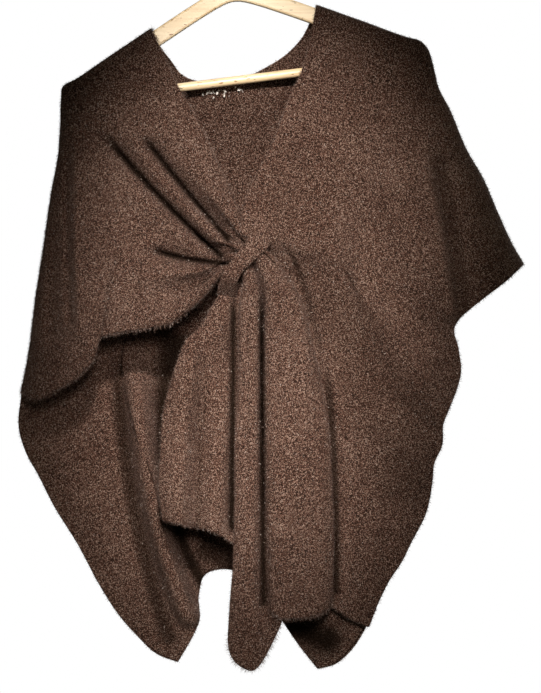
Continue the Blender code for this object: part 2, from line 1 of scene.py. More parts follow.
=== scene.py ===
"""Looks of the knitted wrap poncho on its wooden hanger, in metres, +Z up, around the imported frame.

The origin is the inside top of the hanger's hook. +X is to the viewer's right, -Y towards the viewer. The
tables are in millimetres: x, drop (down from the origin) and y. Each panel of knit is a sheet of points in
rows and columns, spanned between its edges, folded and pleated, then given a thin wall, ribs and fuzz.
"""

from collections import namedtuple
from math import cos, hypot, pi, radians, sin

import bpy
import numpy as np
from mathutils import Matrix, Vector


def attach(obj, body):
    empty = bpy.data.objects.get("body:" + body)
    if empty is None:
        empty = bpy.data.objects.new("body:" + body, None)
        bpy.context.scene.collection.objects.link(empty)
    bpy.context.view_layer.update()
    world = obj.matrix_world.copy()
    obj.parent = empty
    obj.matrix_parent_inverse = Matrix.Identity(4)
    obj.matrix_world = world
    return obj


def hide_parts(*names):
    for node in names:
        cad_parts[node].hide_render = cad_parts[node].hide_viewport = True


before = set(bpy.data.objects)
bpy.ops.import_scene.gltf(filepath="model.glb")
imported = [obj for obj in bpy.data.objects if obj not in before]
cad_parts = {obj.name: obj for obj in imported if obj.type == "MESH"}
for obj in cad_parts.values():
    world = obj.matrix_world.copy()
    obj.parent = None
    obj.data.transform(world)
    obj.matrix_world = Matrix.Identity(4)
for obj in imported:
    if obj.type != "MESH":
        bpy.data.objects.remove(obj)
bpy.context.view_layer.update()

MM = 0.001
KNIT = 2.0  # thickness of the knit under its fuzz
SEAM = 0.3
SHOULDER_SEAM = 0.2
RIB = 5.0  # from one rib of the knit to the next
WALE = 3.4  # from one stitch to the next along a rib

# The hanger, in its own frame: a to its right, b up from the hold. It hangs tilted.
TILT = radians(7.2)
ARM_APEX = -81.7
ARM_SLOPE = -0.51
ARM_BEND = 18.0  # how round the arms meet in the middle
ARM_HALF_HEIGHT = 9.5
HEEL_START = 186.0  # where the arm's lower corner that holds the bar begins
BAR_AXIS = -184.5
BAR_RADIUS = 5.3
BAR_END = 3.0  # room for the bar's domed end
WIRE_RADIUS = 1.9
HOOK_INSIDE_RADIUS = 20.0
CLOTH_LIFT = 3.3  # from the arm's top to the middle of the knit that lies on it

Fold = namedtuple("Fold", "x0 drop0 x1 drop1 x2 drop2 width0 width1 depth0 depth1")
BandRow = namedtuple("BandRow", "x drop y width")
TailRow = namedtuple("TailRow", "x drop turn right gap fold left front deep narrow_front")
Panel = namedtuple("Panel", "world normal facing")


def folds(*rows):
    """Folds, each along a line that starts at (x0, drop0), bends by (x1, drop1) and ends at (x2, drop2).

    width0 and width1, depth0 and depth1 are its width and depth at the start and the end.
    """
    return [Fold(*row) for row in rows]


def hanger(a, b):
    """The place (x, drop) of a point of the hanger's own frame."""
    return a * cos(TILT) - b * sin(TILT), -(a * sin(TILT) + b * cos(TILT))


def arm_middle(a):
    """The height b of the arms' middle line, straight but for the round bend at the hook."""
    return ARM_APEX + ARM_SLOPE * (hypot(a, ARM_BEND) - ARM_BEND)


def on_arm(a):
    """A row of the shoulder line where the cloth lies on the arm at a."""
    lift = (ARM_HALF_HEIGHT + CLOTH_LIFT) * hypot(1, ARM_SLOPE)
    x, drop = hanger(a, arm_middle(a) + lift)
    return x, drop, 0.0, 9.0, -12.0, 12.0


# The shoulder line. On the hanger it follows the arm, past the hanger's end it hangs free. A row is x, drop,
# y of the line itself, how far the cloth takes to round away from it, and y of the front and of the back once
# they have rounded.
LEFT_SHOULDER = [
    on_arm(-103), on_arm(-140), on_arm(-170), on_arm(-200), (-192, 192, 0, 9, -12, 13),
    (-194, 207, 1, 12, -13, 15), (-195, 235, 4, 16, -15, 22), (-198, 272, 9, 22, -19, 34),
    (-207, 319, 16, 30, -23, 46), (-217, 385, 24, 44, -26, 56), (-226, 440, 30, 56, -28, 62),
    (-236, 515, 33, 68, -28, 66), (-244, 553, 34, 74, -28, 68),
]
RIGHT_SHOULDER = [
    on_arm(97), on_arm(150), on_arm(200), (232, 138, 0, 9, -12, 12), (241, 148, 0, 10, -12, 13),
    (246, 163, 1, 13, -13, 15), (254, 194, 5, 25, -15, 20), (266, 216, 10, 36, -18, 28),
    (289, 268, 20, 56, -21, 42), (308, 300, 26, 64, -22, 50), (324, 336, 31, 76, -22, 56),
    (345, 381, 35, 90, -21, 60), (357, 401, 36, 96, -20, 62),
]

# Back panel. Here and below, the rows of edges and hems are x, drop and y.
NECKLINE = [
    (-79, 142, 12), (-65, 160, 12), (-52, 177, 13), (-30, 186, 14), (0, 188, 14), (28, 179, 14),
    (50, 168, 13), (72, 154, 12), (90, 136, 12),
]
BACK_LEFT_EDGE = [
    (-249, 600, 68), (-241, 628, 68), (-226, 655, 66), (-208, 690, 62), (-178, 738, 56), (-153, 784, 50),
    (-128, 822, 42), (-106, 846, 34), (-80, 869, 27), (-57, 877, 24),
]
BACK_HEM = [
    (-40, 848, 30), (-32, 830, 40), (-33, 800, 56), (-27, 778, 62), (10, 770, 58), (42, 790, 50),
    (67, 827, 44), (90, 860, 38), (111, 886, 34),
]
BACK_RIGHT_EDGE = [
    (318, 434, 58), (274, 478, 44), (268, 531, 34), (254, 600, 28), (236, 690, 28), (206, 755, 28),
    (182, 802, 26), (167, 838, 25), (150, 864, 27), (130, 881, 31), (111, 886, 34),
]

# Front on the viewer's left: gathered towards the band
GATHER_NECK_EDGE = [
    (-56, 193, -12), (-41, 219, -13), (-12, 279, -14), (11, 326, -15), (22, 352, -19),
]
GATHER_SIDE_EDGE = [
    (-226, 562, -28), (-196, 549, -29), (-171, 533, -29), (-153, 511, -29), (-146, 489, -25),
    (-126, 483, -24), (-94, 478, -24), (-64, 472, -26), (-46, 459, -28), (-24, 441, -29), (-6, 418, -28),
    (6, 409, -26),
]
BUNDLE = (24.5, 392)  # the gathers where they pass under the band: x and drop of their middle
BUNDLE_TURN = 32.0  # degrees below level, the way they run there
BUNDLE_HALF_HEIGHT = 16.0
BUNDLE_BACK = -25.0
BUNDLE_BULGE = 13.0
PLEAT_DEPTH = 8.0
PLEAT_STEEPNESS = 0.09  # how soon a wide pleat reaches that depth
PLEAT_CROWDING = 0.13  # how far points move to a pleat's steep sides
# The pleats, ridge and trough in turn: the place across the front, 0 at the neck edge and 1 at the side edge,
# and how far down the cloth it begins, 0 at the shoulder and 1 at the band
PLEATS = [
    (0.08, 0.30), (0.24, 0.30), (0.38, 0.20), (0.51, 0.10), (0.66, 0.35), (0.80, 0.50), (0.93, 0.45),
]
GATHER_FOLDS = folds(
    (-98, 250, -57, 304, -6, 362, 11, 9, 5, 9), (-150, 244, -88, 314, -20, 380, 13, 9, 4, 9),
    (-92, 386, -60, 395, -24, 399, 10, 8, 5, 8), (-126, 238, -74, 294, -14, 362, 13, 9, -4, -4),
    (-192, 236, -206, 340, -204, 480, 13, 18, 4, 12), (-180, 330, -172, 420, -160, 500, 26, 24, -3, -7),
    (-120, 300, -118, 400, -112, 480, 34, 26, 3, 5), (-126, 238, -74, 294, -8, 366, 12, 8, -3, -3),
    (-74, 216, -30, 280, 6, 346, 11, 8, -3, -3), (-94, 344, -60, 366, -20, 388, 11, 6, -4, -4),
    (-110, 424, -60, 418, -12, 408, 12, 7, -5, -5), (-132, 200, -140, 300, -130, 420, 26, 22, 1, 2),
    (-190, 260, -203, 350, -203, 480, 9, 12, 3, 7), (-170, 290, -180, 380, -172, 486, 10, 9, -3, -6),
    (-184, 244, -188, 340, -180, 470, 6, 7, 7, 12),
)

# Front on the viewer's right, with the slit's edge and the flap below the band
FRONT_INNER_EDGE = [
    (92, 174, -12), (77, 208, -13), (54, 267, -17), (30, 315, -23), (22, 342, -30), (22, 368, -38),
    (42, 375, -34), (54, 388, -20), (48, 410, -13), (28, 424, -13), (4, 428, -17), (-12, 450, -21),
    (-30, 480, -23), (-44, 492, -24), (-54, 515, -24), (-62, 541, -23), (-71, 573, -22), (-75, 625, -23),
    (-77, 670, -24), (-73, 705, -22),
]
FRONT_HEM = [
    (-56, 709, -27), (-36, 714, -15), (-16, 718, -24), (10, 733, -13), (48, 761, -10), (90, 790, -11),
    (128, 809, -14), (149, 823, -8), (171, 834, 0),
]
FRONT_SIDE_EDGE = [
    (335, 421, -20), (313, 438, -19), (290, 456, -18), (272, 474, -15), (277, 505, -8), (280, 531, 2),
    (277, 546, 5), (266, 574, -4), (259, 591, -9), (258, 618, -4), (248, 639, -9), (246, 660, -3),
    (238, 701, 3), (222, 732, 5), (210, 756, 3), (195, 779, 1), (184, 801, 2), (171, 834, 0),
]
FRONT_FOLDS = folds(
    (254, 262, 274, 340, 298, 430, 15, 20, 4, 10), (230, 250, 250, 340, 268, 460, 13, 13, -2, -5),
    (45, 420, 40, 560, 70, 770, 40, 46, 10, 9), (120, 470, 190, 555, 262, 640, 22, 26, 3, 7),
    (100, 300, 150, 430, 235, 540, 40, 36, -3, -6), (-40, 470, -52, 580, -50, 705, 10, 14, -4, -7),
    (-22, 480, -30, 590, -30, 712, 9, 11, 4, 8), (200, 180, 214, 300, 232, 440, 24, 34, -3, -8),
    (150, 560, 168, 690, 160, 820, 30, 26, 2, 8), (62, 372, 92, 408, 100, 470, 6, 7, 6, 4),
    (60, 366, 130, 392, 230, 470, 9, 20, 4, 3), (54, 352, 100, 330, 170, 330, 10, 26, 2, 2),
    (238, 250, 264, 350, 280, 486, 7, 9, 6, 11), (232, 250, 250, 340, 268, 460, 10, 10, -3, -5),
    (178, 552, 214, 576, 262, 610, 12, 14, 4, 6), (168, 590, 200, 640, 232, 700, 14, 18, 2, 5),
    (118, 160, 150, 250, 168, 360, 20, 30, 2, 4), (252, 420, 262, 470, 270, 520, 10, 12, 3, 5),
    (140, 610, 132, 700, 146, 800, 13, 17, 3, 6), (196, 660, 190, 720, 186, 780, 10, 13, 3, 5),
    (10, 424, 10, 540, 8, 716, 5, 7, 7, 10), (90, 420, 132, 560, 130, 800, 6, 8, 4, 9),
)

# The back's folds, and the ridge of the folded strand in its lower left
BACK_FOLDS = folds(
    (-70, 480, -50, 620, -10, 770, 20, 24, 8, 12), (-205, 480, -180, 620, -110, 780, 34, 30, 10, 14),
    (-100, 230, -110, 360, -100, 520, 40, 34, 8, 14), (120, 190, 150, 380, 150, 600, 46, 40, 9, 16),
    (20, 230, 30, 430, 40, 740, 44, 40, -4, -8), (210, 260, 205, 420, 190, 640, 36, 34, -6, -12),
    (100, 520, 110, 680, 120, 850, 24, 26, -6, -14), (-60, 210, -70, 300, -60, 420, 24, 34, 2, 5),
    (80, 200, 90, 320, 80, 460, 26, 34, 2, 5), (-136, 500, -114, 700, -68, 850, 9, 11, 8, 10),
    (-215, 560, -196, 640, -150, 760, 12, 16, 4, 5), (160, 470, 176, 600, 170, 760, 16, 20, 4, 6),
    (60, 500, 70, 640, 90, 800, 18, 22, 4, 7), (-10, 420, -20, 560, -10, 740, 22, 24, 3, 5),
)
STRAND_RIDGE = folds((-108, 496, -104, 690, -44, 822, 15, 12, -34, -30))

# The tail, from the band to its hem. x, drop and turn place a row's middle and say how far it has turned to
# hang straight down (90). right, gap, fold and left are measured across from the middle: the wide strand's
# two edges, the fold between the strands, and the narrow strand's far edge. front, deep and narrow_front are
# y: of the wide strand, of the fold and of the narrow strand.
TAIL_ROWS = [TailRow(*row) for row in (
    (34, 399, 50, 17, 0, -4, -17, -41, -26, -37), (44, 417, 74, 25, -1, -6, -22, -49, -28, -41),
    (51, 445, 90, 38, -2, -7, -31, -53, -28, -44), (51, 490, 90, 50, -3, -7, -33, -54, -28, -45),
    (51, 541, 90, 62, -4, -7, -33, -54, -28, -45), (51, 600, 90, 71, -2, -7, -37, -54, -29, -44),
    (51, 670, 90, 75, -1, -5, -38, -54, -31, -41), (51, 730, 90, 77, 0, 2, -40, -54, -35, -38),
    (51, 775, 90, 76, 0, 11, -44, -54, -38, -36), (51, 808, 90, 74, 1, 16, -46, -54, -38, -35),
)]
TAIL_BACK = -22.0
TAIL_HEM_LEVEL = 808.0
TAIL_HEM_START = 0.375  # how far down the tail its rows begin to bend to the hem's line
# The hem's drop at each of the thirteen points across, from the wide strand's hidden edge to the narrow's.
TAIL_HEM = (796, 800, 804, 812, 818, 815, 808, 822, 846, 882, 838, 800, 772)

# The band: its middle line over the gathers. The ends' y comes from the front that they lie on.
BAND_PATH = [BandRow(*row) for row in (
    (46, 368, 0, 27), (39, 379, -43.5, 24), (27, 393, -46.5, 20), (14, 407, -45.5, 18), (6, 421, -41.5, 19),
    (3, 440, 0, 24),
)]

SIDEWAYS = np.array([0, 1, 0])  # the panels meet face to face along y at the shoulder
END_ROW = 4  # the row of each shoulder table at the hanger's end, where the back panel has its corner

# How many columns and rows of points each sheet has
ARM_COLUMNS = 36
NECK_COLUMNS = 50
DRAPE_ROWS = 66
FREE_ROWS = 60
GATHER_COLUMNS = 150
GATHER_ROWS = 90
FRONT_COLUMNS = 130
FRONT_ROWS = 130
TAIL_COLUMNS = 150
TAIL_LENGTHS = 110
BAND_COLUMNS = 17
BAND_LENGTHS = 50
NECK_FRACTIONS = 0.5 - 0.5 * np.cos(pi * np.linspace(0, 1, NECK_COLUMNS + 2)[1:-1])
DOWN_POWER = 1.5  # a front's rows crowd to the shoulder by this power
CORNER_POWER = 1.5  # the shoulder line's points crowd to the hanger's end

LINE_POINTS = 100  # along each fold's line
FOLD_ONSET = 5.0  # a fold has its whole depth after one part in so many of its line
STRIPE_ONSET = 6.0  # the same for a stripe of painted shade
STRIPE_WIDTH = 0.62  # of its crease's width
# Turns of evening out
BACK_TURNS = 60
FOLDED_BACK_TURNS = 4
GATHER_TURNS = 5
FRONT_TURNS = 20
BEND_TURNS = 2
VALLEY_RADIUS = 3.2  # a bend as tight as this gets the full painted shade
TROUGH_POWER = 1.5  # how much narrower the pleats' troughs are than their ridges
TO_FRONT, TO_BACK = [0, 1, 4], [0, 1, 5]  # a shoulder row's x and drop with the front's y or the back's
BAND_WIDE = 10.0  # how far round its middle each end of the band touches the front
BAND_ROLL = 2.2  # how far the band's edges lie behind its middle
DOME = 0.45  # how far a rod's domed end stands out, in radii
DOME_ANGLES = np.array([0.5, 1.1, 1.5])
HOOK_SUNK = 2.0  # how deep the hook's foot is in the wood
HOOK_ARC = (-55, 215)  # degrees

GOLDEN_ANGLE = 2.399963  # radians, from one hair's flat side to the next's
HAIR_LENGTH = (1.8, 4.6)
HAIR_WIDTH = (0.14, 0.26)
HAIR_SINK = 0.3  # how deep a hair's root is in the knit
COMB = 0.45  # how far roots move to the ribs, 1 would gather them all there
BALD = 0.97  # the share of hairs that fully painted shade lacks, which darkens it further
BOLD_SHARE = 0.06  # the share of hairs that are shorter, thicker and paler
BOLD_LENGTH = 0.7
BOLD_WIDTH = 3.8
BOLD_TONE = 0.9
HEM_HAIR_WIDTH = (0.18, 0.36)
HIDDEN_SHARE = 0.12  # the share of hairs where the back's inner face doesn't show
LOOSE_STITCHES = 34
STITCH_MIDDLE, STITCH_SPREAD = -5, 14  # in x
STITCH_ENDS = (-33, 23)
STITCH_DROP = (6, 16)  # below the edge
STITCH_SIDES = 14
YARN_SIDES = 6

# Sharp folds of the gathered front. Their bottoms are also painted fully dark, as painted shade.
GATHER_VALLEYS = folds(
    (-100, 246, -62, 298, 4, 374, 9, 7, 12, 18), (-152, 238, -80, 326, -5, 393, 10, 8, 10, 20),
    (-88, 384, -50, 399, -5, 402, 9, 7, 14, 16),
)
# Stripes of painted shade, which move nothing: painted shadow on the back under the right front, the flap and
# the tail's hem, and painted shade along some crease lines and in broad bands on the left front and its
# sleeve. Here the last two values are how dark a stripe is, from 0 to 1.
STRAND_SHADE_STRIPES = folds((44, 416, 44, 560, 46, 804, 8, 9, 1, 1))
FLAP_SHADE_STRIPES = folds(
    (10, 424, 10, 540, 8, 716, 7, 9, 1, 1), (76, 388, 98, 420, 112, 500, 6, 6, 0.8, 0.4),
    (120, 520, 134, 620, 132, 790, 7, 9, 0.7, 0.9), (100, 420, 175, 500, 215, 640, 40, 80, 0.15, 0.4),
    (246, 256, 270, 350, 286, 486, 15, 20, 0.5, 0.6),
)
UNDER_SHADE_STRIPES = folds(
    (-133, 500, -128, 690, -68, 850, 13, 16, 0.85, 0.75), (-72, 488, -94, 690, -24, 792, 15, 13, 1, 1),
    (-58, 478, -64, 510, -74, 570, 44, 24, 0.95, 0.95), (66, 832, 96, 840, 122, 850, 24, 32, 1, 1),
    (-40, 742, -10, 748, 14, 764, 26, 26, 0.8, 0.8),
)
TAIL_CREASES = folds(
    (44, 416, 44, 560, 46, 804, 5, 7, 5, 9), (64, 400, 78, 450, 84, 560, 7, 12, 3, 2),
    (54, 420, 60, 480, 62, 600, 6, 10, 3, 2), (104, 520, 108, 640, 104, 780, 9, 12, 2, 3),
    (78, 620, 76, 700, 84, 800, 10, 12, 1, 3), (28, 440, 29, 540, 28, 660, 4, 5, 2, 3),
)


def through(knots, values, at):
    """A smooth curve through values at the knots (Hermite, slopes from the neighbours), read at `at`."""
    p = np.asarray(values, float)
    s = np.asarray(knots, float)
    t = np.asarray(at, float)
    wide = (slice(None),) + (None,) * (p.ndim - 1)
    gap = np.diff(s)[wide]
    slope = np.diff(p, axis=0) / gap
    inner = (gap[1:] * slope[:-1] + gap[:-1] * slope[1:]) / (gap[:-1] + gap[1:])
    tangent = np.concatenate([slope[:1], inner, slope[-1:]])
    i = np.clip(np.searchsorted(s, t, side="right") - 1, 0, len(s) - 2)
    h = gap[i]
    f = (t - s[i])[wide] / h
    return (
        (2 * f**3 - 3 * f**2 + 1) * p[i]
        + (f**3 - 2 * f**2 + f) * h * tangent[i]
        + (3 * f**2 - 2 * f**3) * p[i + 1]
        + (f**3 - f**2) * h * tangent[i + 1]
    )


def spline(table, at):
    """Points at fractions of the length of a smooth curve through the table's rows."""
    p = np.array(table, float)
    return through(fractions(p), p, at)


def evenly(n):
    """Numbers from 0 to 1 at even steps."""
    return np.linspace(0, 1, n)


def soft_step(t):
    """0 below 0, 1 above 1, and 3 t squared less 2 t cubed between."""
    t = np.clip(t, 0, 1)
    return t * t * (3 - 2 * t)


def beside(fold, x, drop):
    """Where places are beside a fold's line, a curve bent by one middle point.

    Gives the line's points, the distance to the nearest one, its number, and its share along the line.
    """
    t = evenly(LINE_POINTS)
    line_x = (1 - t) ** 2 * fold.x0 + 2 * t * (1 - t) * fold.x1 + t**2 * fold.x2
    line_drop = (1 - t) ** 2 * fold.drop0 + 2 * t * (1 - t) * fold.drop1 + t**2 * fold.drop2
    far = np.hypot(x[..., None] - line_x, drop[..., None] - line_drop)
    nearest = far.argmin(-1)
    return line_x, line_drop, far.min(-1), nearest, t[nearest]


def at_share(fold, along):
    """A fold's width and depth at a share of its line, even from its start to its end."""
    width = fold.width0 + (fold.width1 - fold.width0) * along
    return width, fold.depth0 + (fold.depth1 - fold.depth0) * along


def add_folds(sheet, folded, power=2.0, pinch=0.0):
    """Moves a sheet's y by its folds: each a trough (depth over 0) or ridge along its line.

    With distance from the line a fold dies away as exp(-(distance / width) ** power): round at 2, sharp at 1.
    The points by the line also move towards it, by a share of their distance: pinch at the line itself.
    """
    for f in folded:
        line_x, line_drop, far, nearest, along = beside(f, sheet[..., 0], sheet[..., 1])
        width, depth = at_share(f, along)
        grown = soft_step(FOLD_ONSET * along)
        sheet[..., 2] += depth * np.exp(-((far / width) ** power)) * grown
        drawn = pinch * np.exp(-((far / width) ** 2)) * grown
        sheet[..., 0] += drawn * (line_x[nearest] - sheet[..., 0])
        sheet[..., 1] += drawn * (line_drop[nearest] - sheet[..., 1])


def crowded(n, power):
    """Fractions from 0 to 1 that lie closer together at the start."""
    return evenly(n) ** power


def fractions(points):
    """How far along its length each point of a line is."""
    along = np.cumsum(np.linalg.norm(np.diff(points[:, :2], axis=0), axis=1))
    return np.concatenate([[0], along / along[-1]])


def patch(top, bottom, first, last, u, v):
    """A sheet spanned between four edges, as [row, column, (x, drop, y)].

    Each point is on the straight line between the first and the last column, plus what the top and the
    bottom row bow away from theirs.
    """
    top_bow = top - (1 - u)[:, None] * top[0] - u[:, None] * top[-1]
    bottom_bow = bottom - (1 - u)[:, None] * bottom[0] - u[:, None] * bottom[-1]
    u = u[None, :, None]
    v = v[:, None, None]
    return (1 - u) * first[:, None] + u * last[:, None] + (1 - v) * top_bow + v * bottom_bow


def round_over(sheet, lines):
    """Turns a sheet round to the shoulder lines, each with the columns x, drop, y and turn.

    Near a line the sheet's y goes to the line's own on a quarter of an ellipse.
    """
    place = sheet[..., None, :2]
    for line in lines:
        start, way = line[:-1], np.diff(line, axis=0)
        along = ((place - start[:, :2]) * way[:, :2]).sum(-1) / (way[:, :2] ** 2).sum(-1)
        nearest = start + np.clip(along, 0, 1)[..., None] * way
        far = np.linalg.norm(place - nearest[..., :2], axis=-1)
        i = far.argmin(-1)[..., None]
        far = np.take_along_axis(far, i, -1)[..., 0]
        nearest = np.take_along_axis(nearest, i[..., None], -2)[..., 0, :]
        reach = np.clip(far / nearest[..., 3], 0, 1)
        middle = nearest[..., 2]
        turned = middle + (sheet[..., 2] - middle) * np.sqrt(1 - (1 - reach) ** 2)
        sheet[..., 2] = np.where(reach < 1, turned, sheet[..., 2])


def unit(v):
    """Vectors over their lengths."""
    return v / np.linalg.norm(v, axis=-1, keepdims=True)


def faced(sheet, shoulder=()):
    """A sheet's panel in metres, and the side of it that faces the viewer: 1 where its normals do, else -1.

    The normals are square to the row and the column through each point. Where the rim meets another panel at
    the shoulder, they lose their part along y, so that the two rims lie face to face.
    """
    world = np.stack([sheet[..., 0], sheet[..., 2], -sheet[..., 1]], axis=-1) * MM
    normal = unit(np.cross(np.gradient(world, axis=1), np.gradient(world, axis=0)))
    for edge in shoulder:
        normal[edge] = unit(normal[edge] - (normal[edge] @ SIDEWAYS)[..., None] * SIDEWAYS)
    return Panel(world, normal, float(np.sign(-normal[..., 1].mean())))


def relaxed(field, times):
    """Evens out a grid's values in turns: each inner one goes half way to the mean of its neighbours."""
    for _ in range(times):
        near = field[:-2, 1:-1] + field[2:, 1:-1] + field[1:-1, :-2] + field[1:-1, 2:]
        field[1:-1, 1:-1] = 0.5 * field[1:-1, 1:-1] + 0.125 * near


def lengths(world):
    """How far each point is along its row and down its column, in metres: the knit's own UV map."""
    uv = np.zeros((*world.shape[:2], 2))
    uv[:, 1:, 0] = np.cumsum(np.linalg.norm(np.diff(world, axis=1), axis=-1), axis=1)
    uv[1:, :, 1] = np.cumsum(np.linalg.norm(np.diff(world, axis=0), axis=-1), axis=0)
    return uv


def add_mesh(name, points, faces, look, smooth=True):
    """A piece of the object from points and a list of face arrays, each array with one number of corners."""
    sides = np.concatenate([np.full(len(f), f.shape[1]) for f in faces])
    corners = np.concatenate([f.ravel() for f in faces])
    mesh = bpy.data.meshes.new(name)
    mesh.vertices.add(len(points))
    mesh.vertices.foreach_set("co", np.ascontiguousarray(points, np.float32).ravel())
    mesh.loops.add(len(corners))
    mesh.loops.foreach_set("vertex_index", corners.astype(np.int32))
    mesh.polygons.add(len(sides))
    starts = np.concatenate([[0], np.cumsum(sides)[:-1]])
    mesh.polygons.foreach_set("loop_start", starts.astype(np.int32))
    mesh.update(calc_edges=True)
    mesh.polygons.foreach_set("use_smooth", np.full(len(sides), smooth))
    mesh.validate()
    mesh.materials.append(look)
    piece = bpy.data.objects.new(name, mesh)
    bpy.context.scene.collection.objects.link(piece)
    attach(piece, "root")
    return piece


def put_uv(piece, uv):
    """Gives each corner of a mesh the UV of its point."""
    layer = piece.data.uv_layers.new(name="UVMap")
    corners = np.empty(len(piece.data.loops), np.int32)
    piece.data.loops.foreach_get("vertex_index", corners)
    layer.data.foreach_set("uv", uv[corners].astype(np.float32).ravel())


def put_value(piece, name, values):
    """Gives each point of a mesh a number that its material reads."""
    field = piece.data.attributes.new(name, "FLOAT", "POINT")
    field.data.foreach_set("value", values.astype(np.float32))


def painted_shade_share(world, normal, shade_stripes=()):
    """How much painted shade each point gets, from 0 to 1: as much as the sheet bends sharply towards its
    normals, 1 at the bottom of a narrow fold.

    The bend is the second difference along the row and along the column, each over its squared step, and
    only what points along the normal counts. A soft step of the bend times a radius makes it 0 to 1. Each
    stripe of painted shade adds its darkness, full by its line and gone at its width.
    """
    bend = np.zeros(world.shape[:2])
    for axis in (0, 1):
        points, ways, total = (np.moveaxis(field, axis, 0) for field in (world, normal, bend))
        step = np.linalg.norm(np.diff(points, axis=0), axis=-1)
        square = (0.5 * (step[1:] + step[:-1])) ** 2
        second = points[2:] + points[:-2] - 2 * points[1:-1]
        total[1:-1] += (second * ways[1:-1]).sum(-1) / square
    relaxed(bend, BEND_TURNS)
    share = soft_step(bend * VALLEY_RADIUS * MM)
    for f in shade_stripes:
        far, along = beside(f, world[..., 0] / MM, -world[..., 2] / MM)[2::2]
        width, dark = at_share(f, along)
        stripe = np.exp(-((far / (STRIPE_WIDTH * width)) ** 4)) * soft_step(STRIPE_ONSET * along)
        share = np.maximum(share, np.clip(dark, 0, 1) * stripe)
    return share


def shell(name, panel, look, shade_stripes=()):
    """A thin closed wall of knit: both faces half its thickness from the sheet, and a rounded rim.

    The rim's own points are as far out, across the rim's line and the normal. Both faces carry painted shade
    in their tight bends, and the stripes of painted shade on the side that faces the viewer.
    """
    world, normal, facing = panel
    rows, columns = world.shape[:2]
    i = np.arange(rows * columns).reshape(rows, columns)
    rim = np.concatenate([i[0, :], i[1:, -1], i[-1, -2::-1], i[-2:0:-1, 0]])
    flat, ways = world.reshape(-1, 3), normal.reshape(-1, 3)
    line = np.roll(flat[rim], -1, axis=0) - np.roll(flat[rim], 1, axis=0)
    half = 0.5 * KNIT * MM
    middle = flat[rim] + half * unit(np.cross(line, ways[rim]))
    under = rows * columns
    a, b = i[:-1, :-1].ravel(), i[:-1, 1:].ravel()
    c, d = i[1:, 1:].ravel(), i[1:, :-1].ravel()
    after = np.roll(rim, -1)
    ring = 2 * under + np.arange(len(rim))
    ring_after = np.roll(ring, -1)
    faces = np.concatenate([
        np.stack([a, b, c, d], 1),
        np.stack([a, d, c, b], 1) + under,
        np.stack([after, rim, ring, ring_after], 1),
        np.stack([ring_after, ring, rim + under, after + under], 1),
    ])
    piece = add_mesh(name, np.vstack([flat + half * ways, flat - half * ways, middle]), [faces], look)
    uv = lengths(world).reshape(-1, 2)
    put_uv(piece, np.concatenate([uv, uv, uv[rim]]))
    # Each face's painted shade, as a value on its points for the material
    deep = [painted_shade_share(world, way * normal, shade_stripes if way == facing else ()).ravel() for way in (1, -1)]
    put_value(piece, "painted_shade", np.concatenate([*deep, deep[0][rim]]))
    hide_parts(name.replace("_knit", ""))
    return piece


def fibres(name, root, direction, bend, length, width, tone, look):
    """Bent hairs, two triangles each: root, two points at the middle, and tip.

    The middle is half the length along the direction, and the tip is from there along direction plus bend.
    The flat side faces a way square to the hair, set by its number.
    """
    count = len(root)
    turn = (np.arange(count) * GOLDEN_ANGLE)[:, None]
    aside = unit(np.cross(direction, np.hstack([np.cos(turn), np.sin(turn), 0.3 + 0 * turn])))
    middle = root + 0.5 * length[:, None] * direction
    tip = middle + 0.5 * length[:, None] * unit(direction + bend)
    half = 0.5 * width[:, None] * aside
    points = np.stack([root, middle - half, middle + half, tip], axis=1).reshape(-1, 3)
    first = 4 * np.arange(count)[:, None]
    faces = np.concatenate([first + [0, 1, 2], first + [1, 3, 2]])
    piece = add_mesh(name, points, [faces], look, smooth=False)
    put_value(piece, "tone", np.repeat(tone, 4))
    return piece


def fuzz(name, panel, count, seed, look, side=1, length=HAIR_LENGTH, where=1.0, shade_stripes=()):
    """Hairs all over the face of a panel that the viewer sees, or with side -1 over its other face.

    Cells are drawn by their area times where, a share for each cell, and less where shade is painted, so that
    the painted shade is also bare of hairs, then a place in the cell evenly. Each root moves towards the
    nearest rib by a sine of its place between two ribs. The hairs stand half out of the knit and are combed
    down.
    """
    world, normal, facing = panel
    rng = np.random.default_rng(seed)
    area = np.linalg.norm(np.cross(world[1:, 1:] - world[:-1, :-1], world[1:, :-1] - world[:-1, 1:]), axis=-1)
    area *= 1 - BALD * painted_shade_share(world, side * facing * normal, shade_stripes)[:-1, :-1]
    sums = np.cumsum((area * where).ravel())
    cell = np.searchsorted(sums, rng.random(count) * sums[-1]).clip(0, area.size - 1)
    r, c = np.divmod(cell, area.shape[1])
    s, t = rng.random((2, count, 1))

    def at(field):
        """A field's values at the roots, even between the four corners of each cell."""
        near = field[r, c] * (1 - s) + field[r, c + 1] * s
        far = field[r + 1, c] * (1 - s) + field[r + 1, c + 1] * s
        return near * (1 - t) + far * t

    out = side * facing * unit(at(normal))
    down = at(np.gradient(world, axis=0))
    down = unit(down - (down * out).sum(-1, keepdims=True) * out)
    across = np.cross(out, down)
    phase = 2 * pi * at(lengths(world)[..., 1:]) / (RIB * MM)
    shift = -COMB * RIB * MM / (2 * pi) * np.sin(phase)
    root = at(world) + out * (0.5 * KNIT - HAIR_SINK) * MM + down * shift
    lift, droop, sway = np.split(rng.normal(0, 1, (count, 3)), 3, axis=1)
    direction = unit(out * (0.55 + 0.2 * lift) + down * (0.45 + 0.5 * droop) + across * 0.7 * sway)
    bend = down * 0.5 + rng.normal(0, 0.45, (count, 3)) - 0.25 * out
    long = rng.uniform(*length, count) * MM
    bold = rng.random(count) < BOLD_SHARE
    long *= np.where(bold, BOLD_LENGTH, 1.0)
    width = rng.uniform(*HAIR_WIDTH, count) * np.where(bold, BOLD_WIDTH, 1.0) * MM
    return fibres(name, root, direction, bend, long, width, rng.random(count) + BOLD_TONE * bold, look)


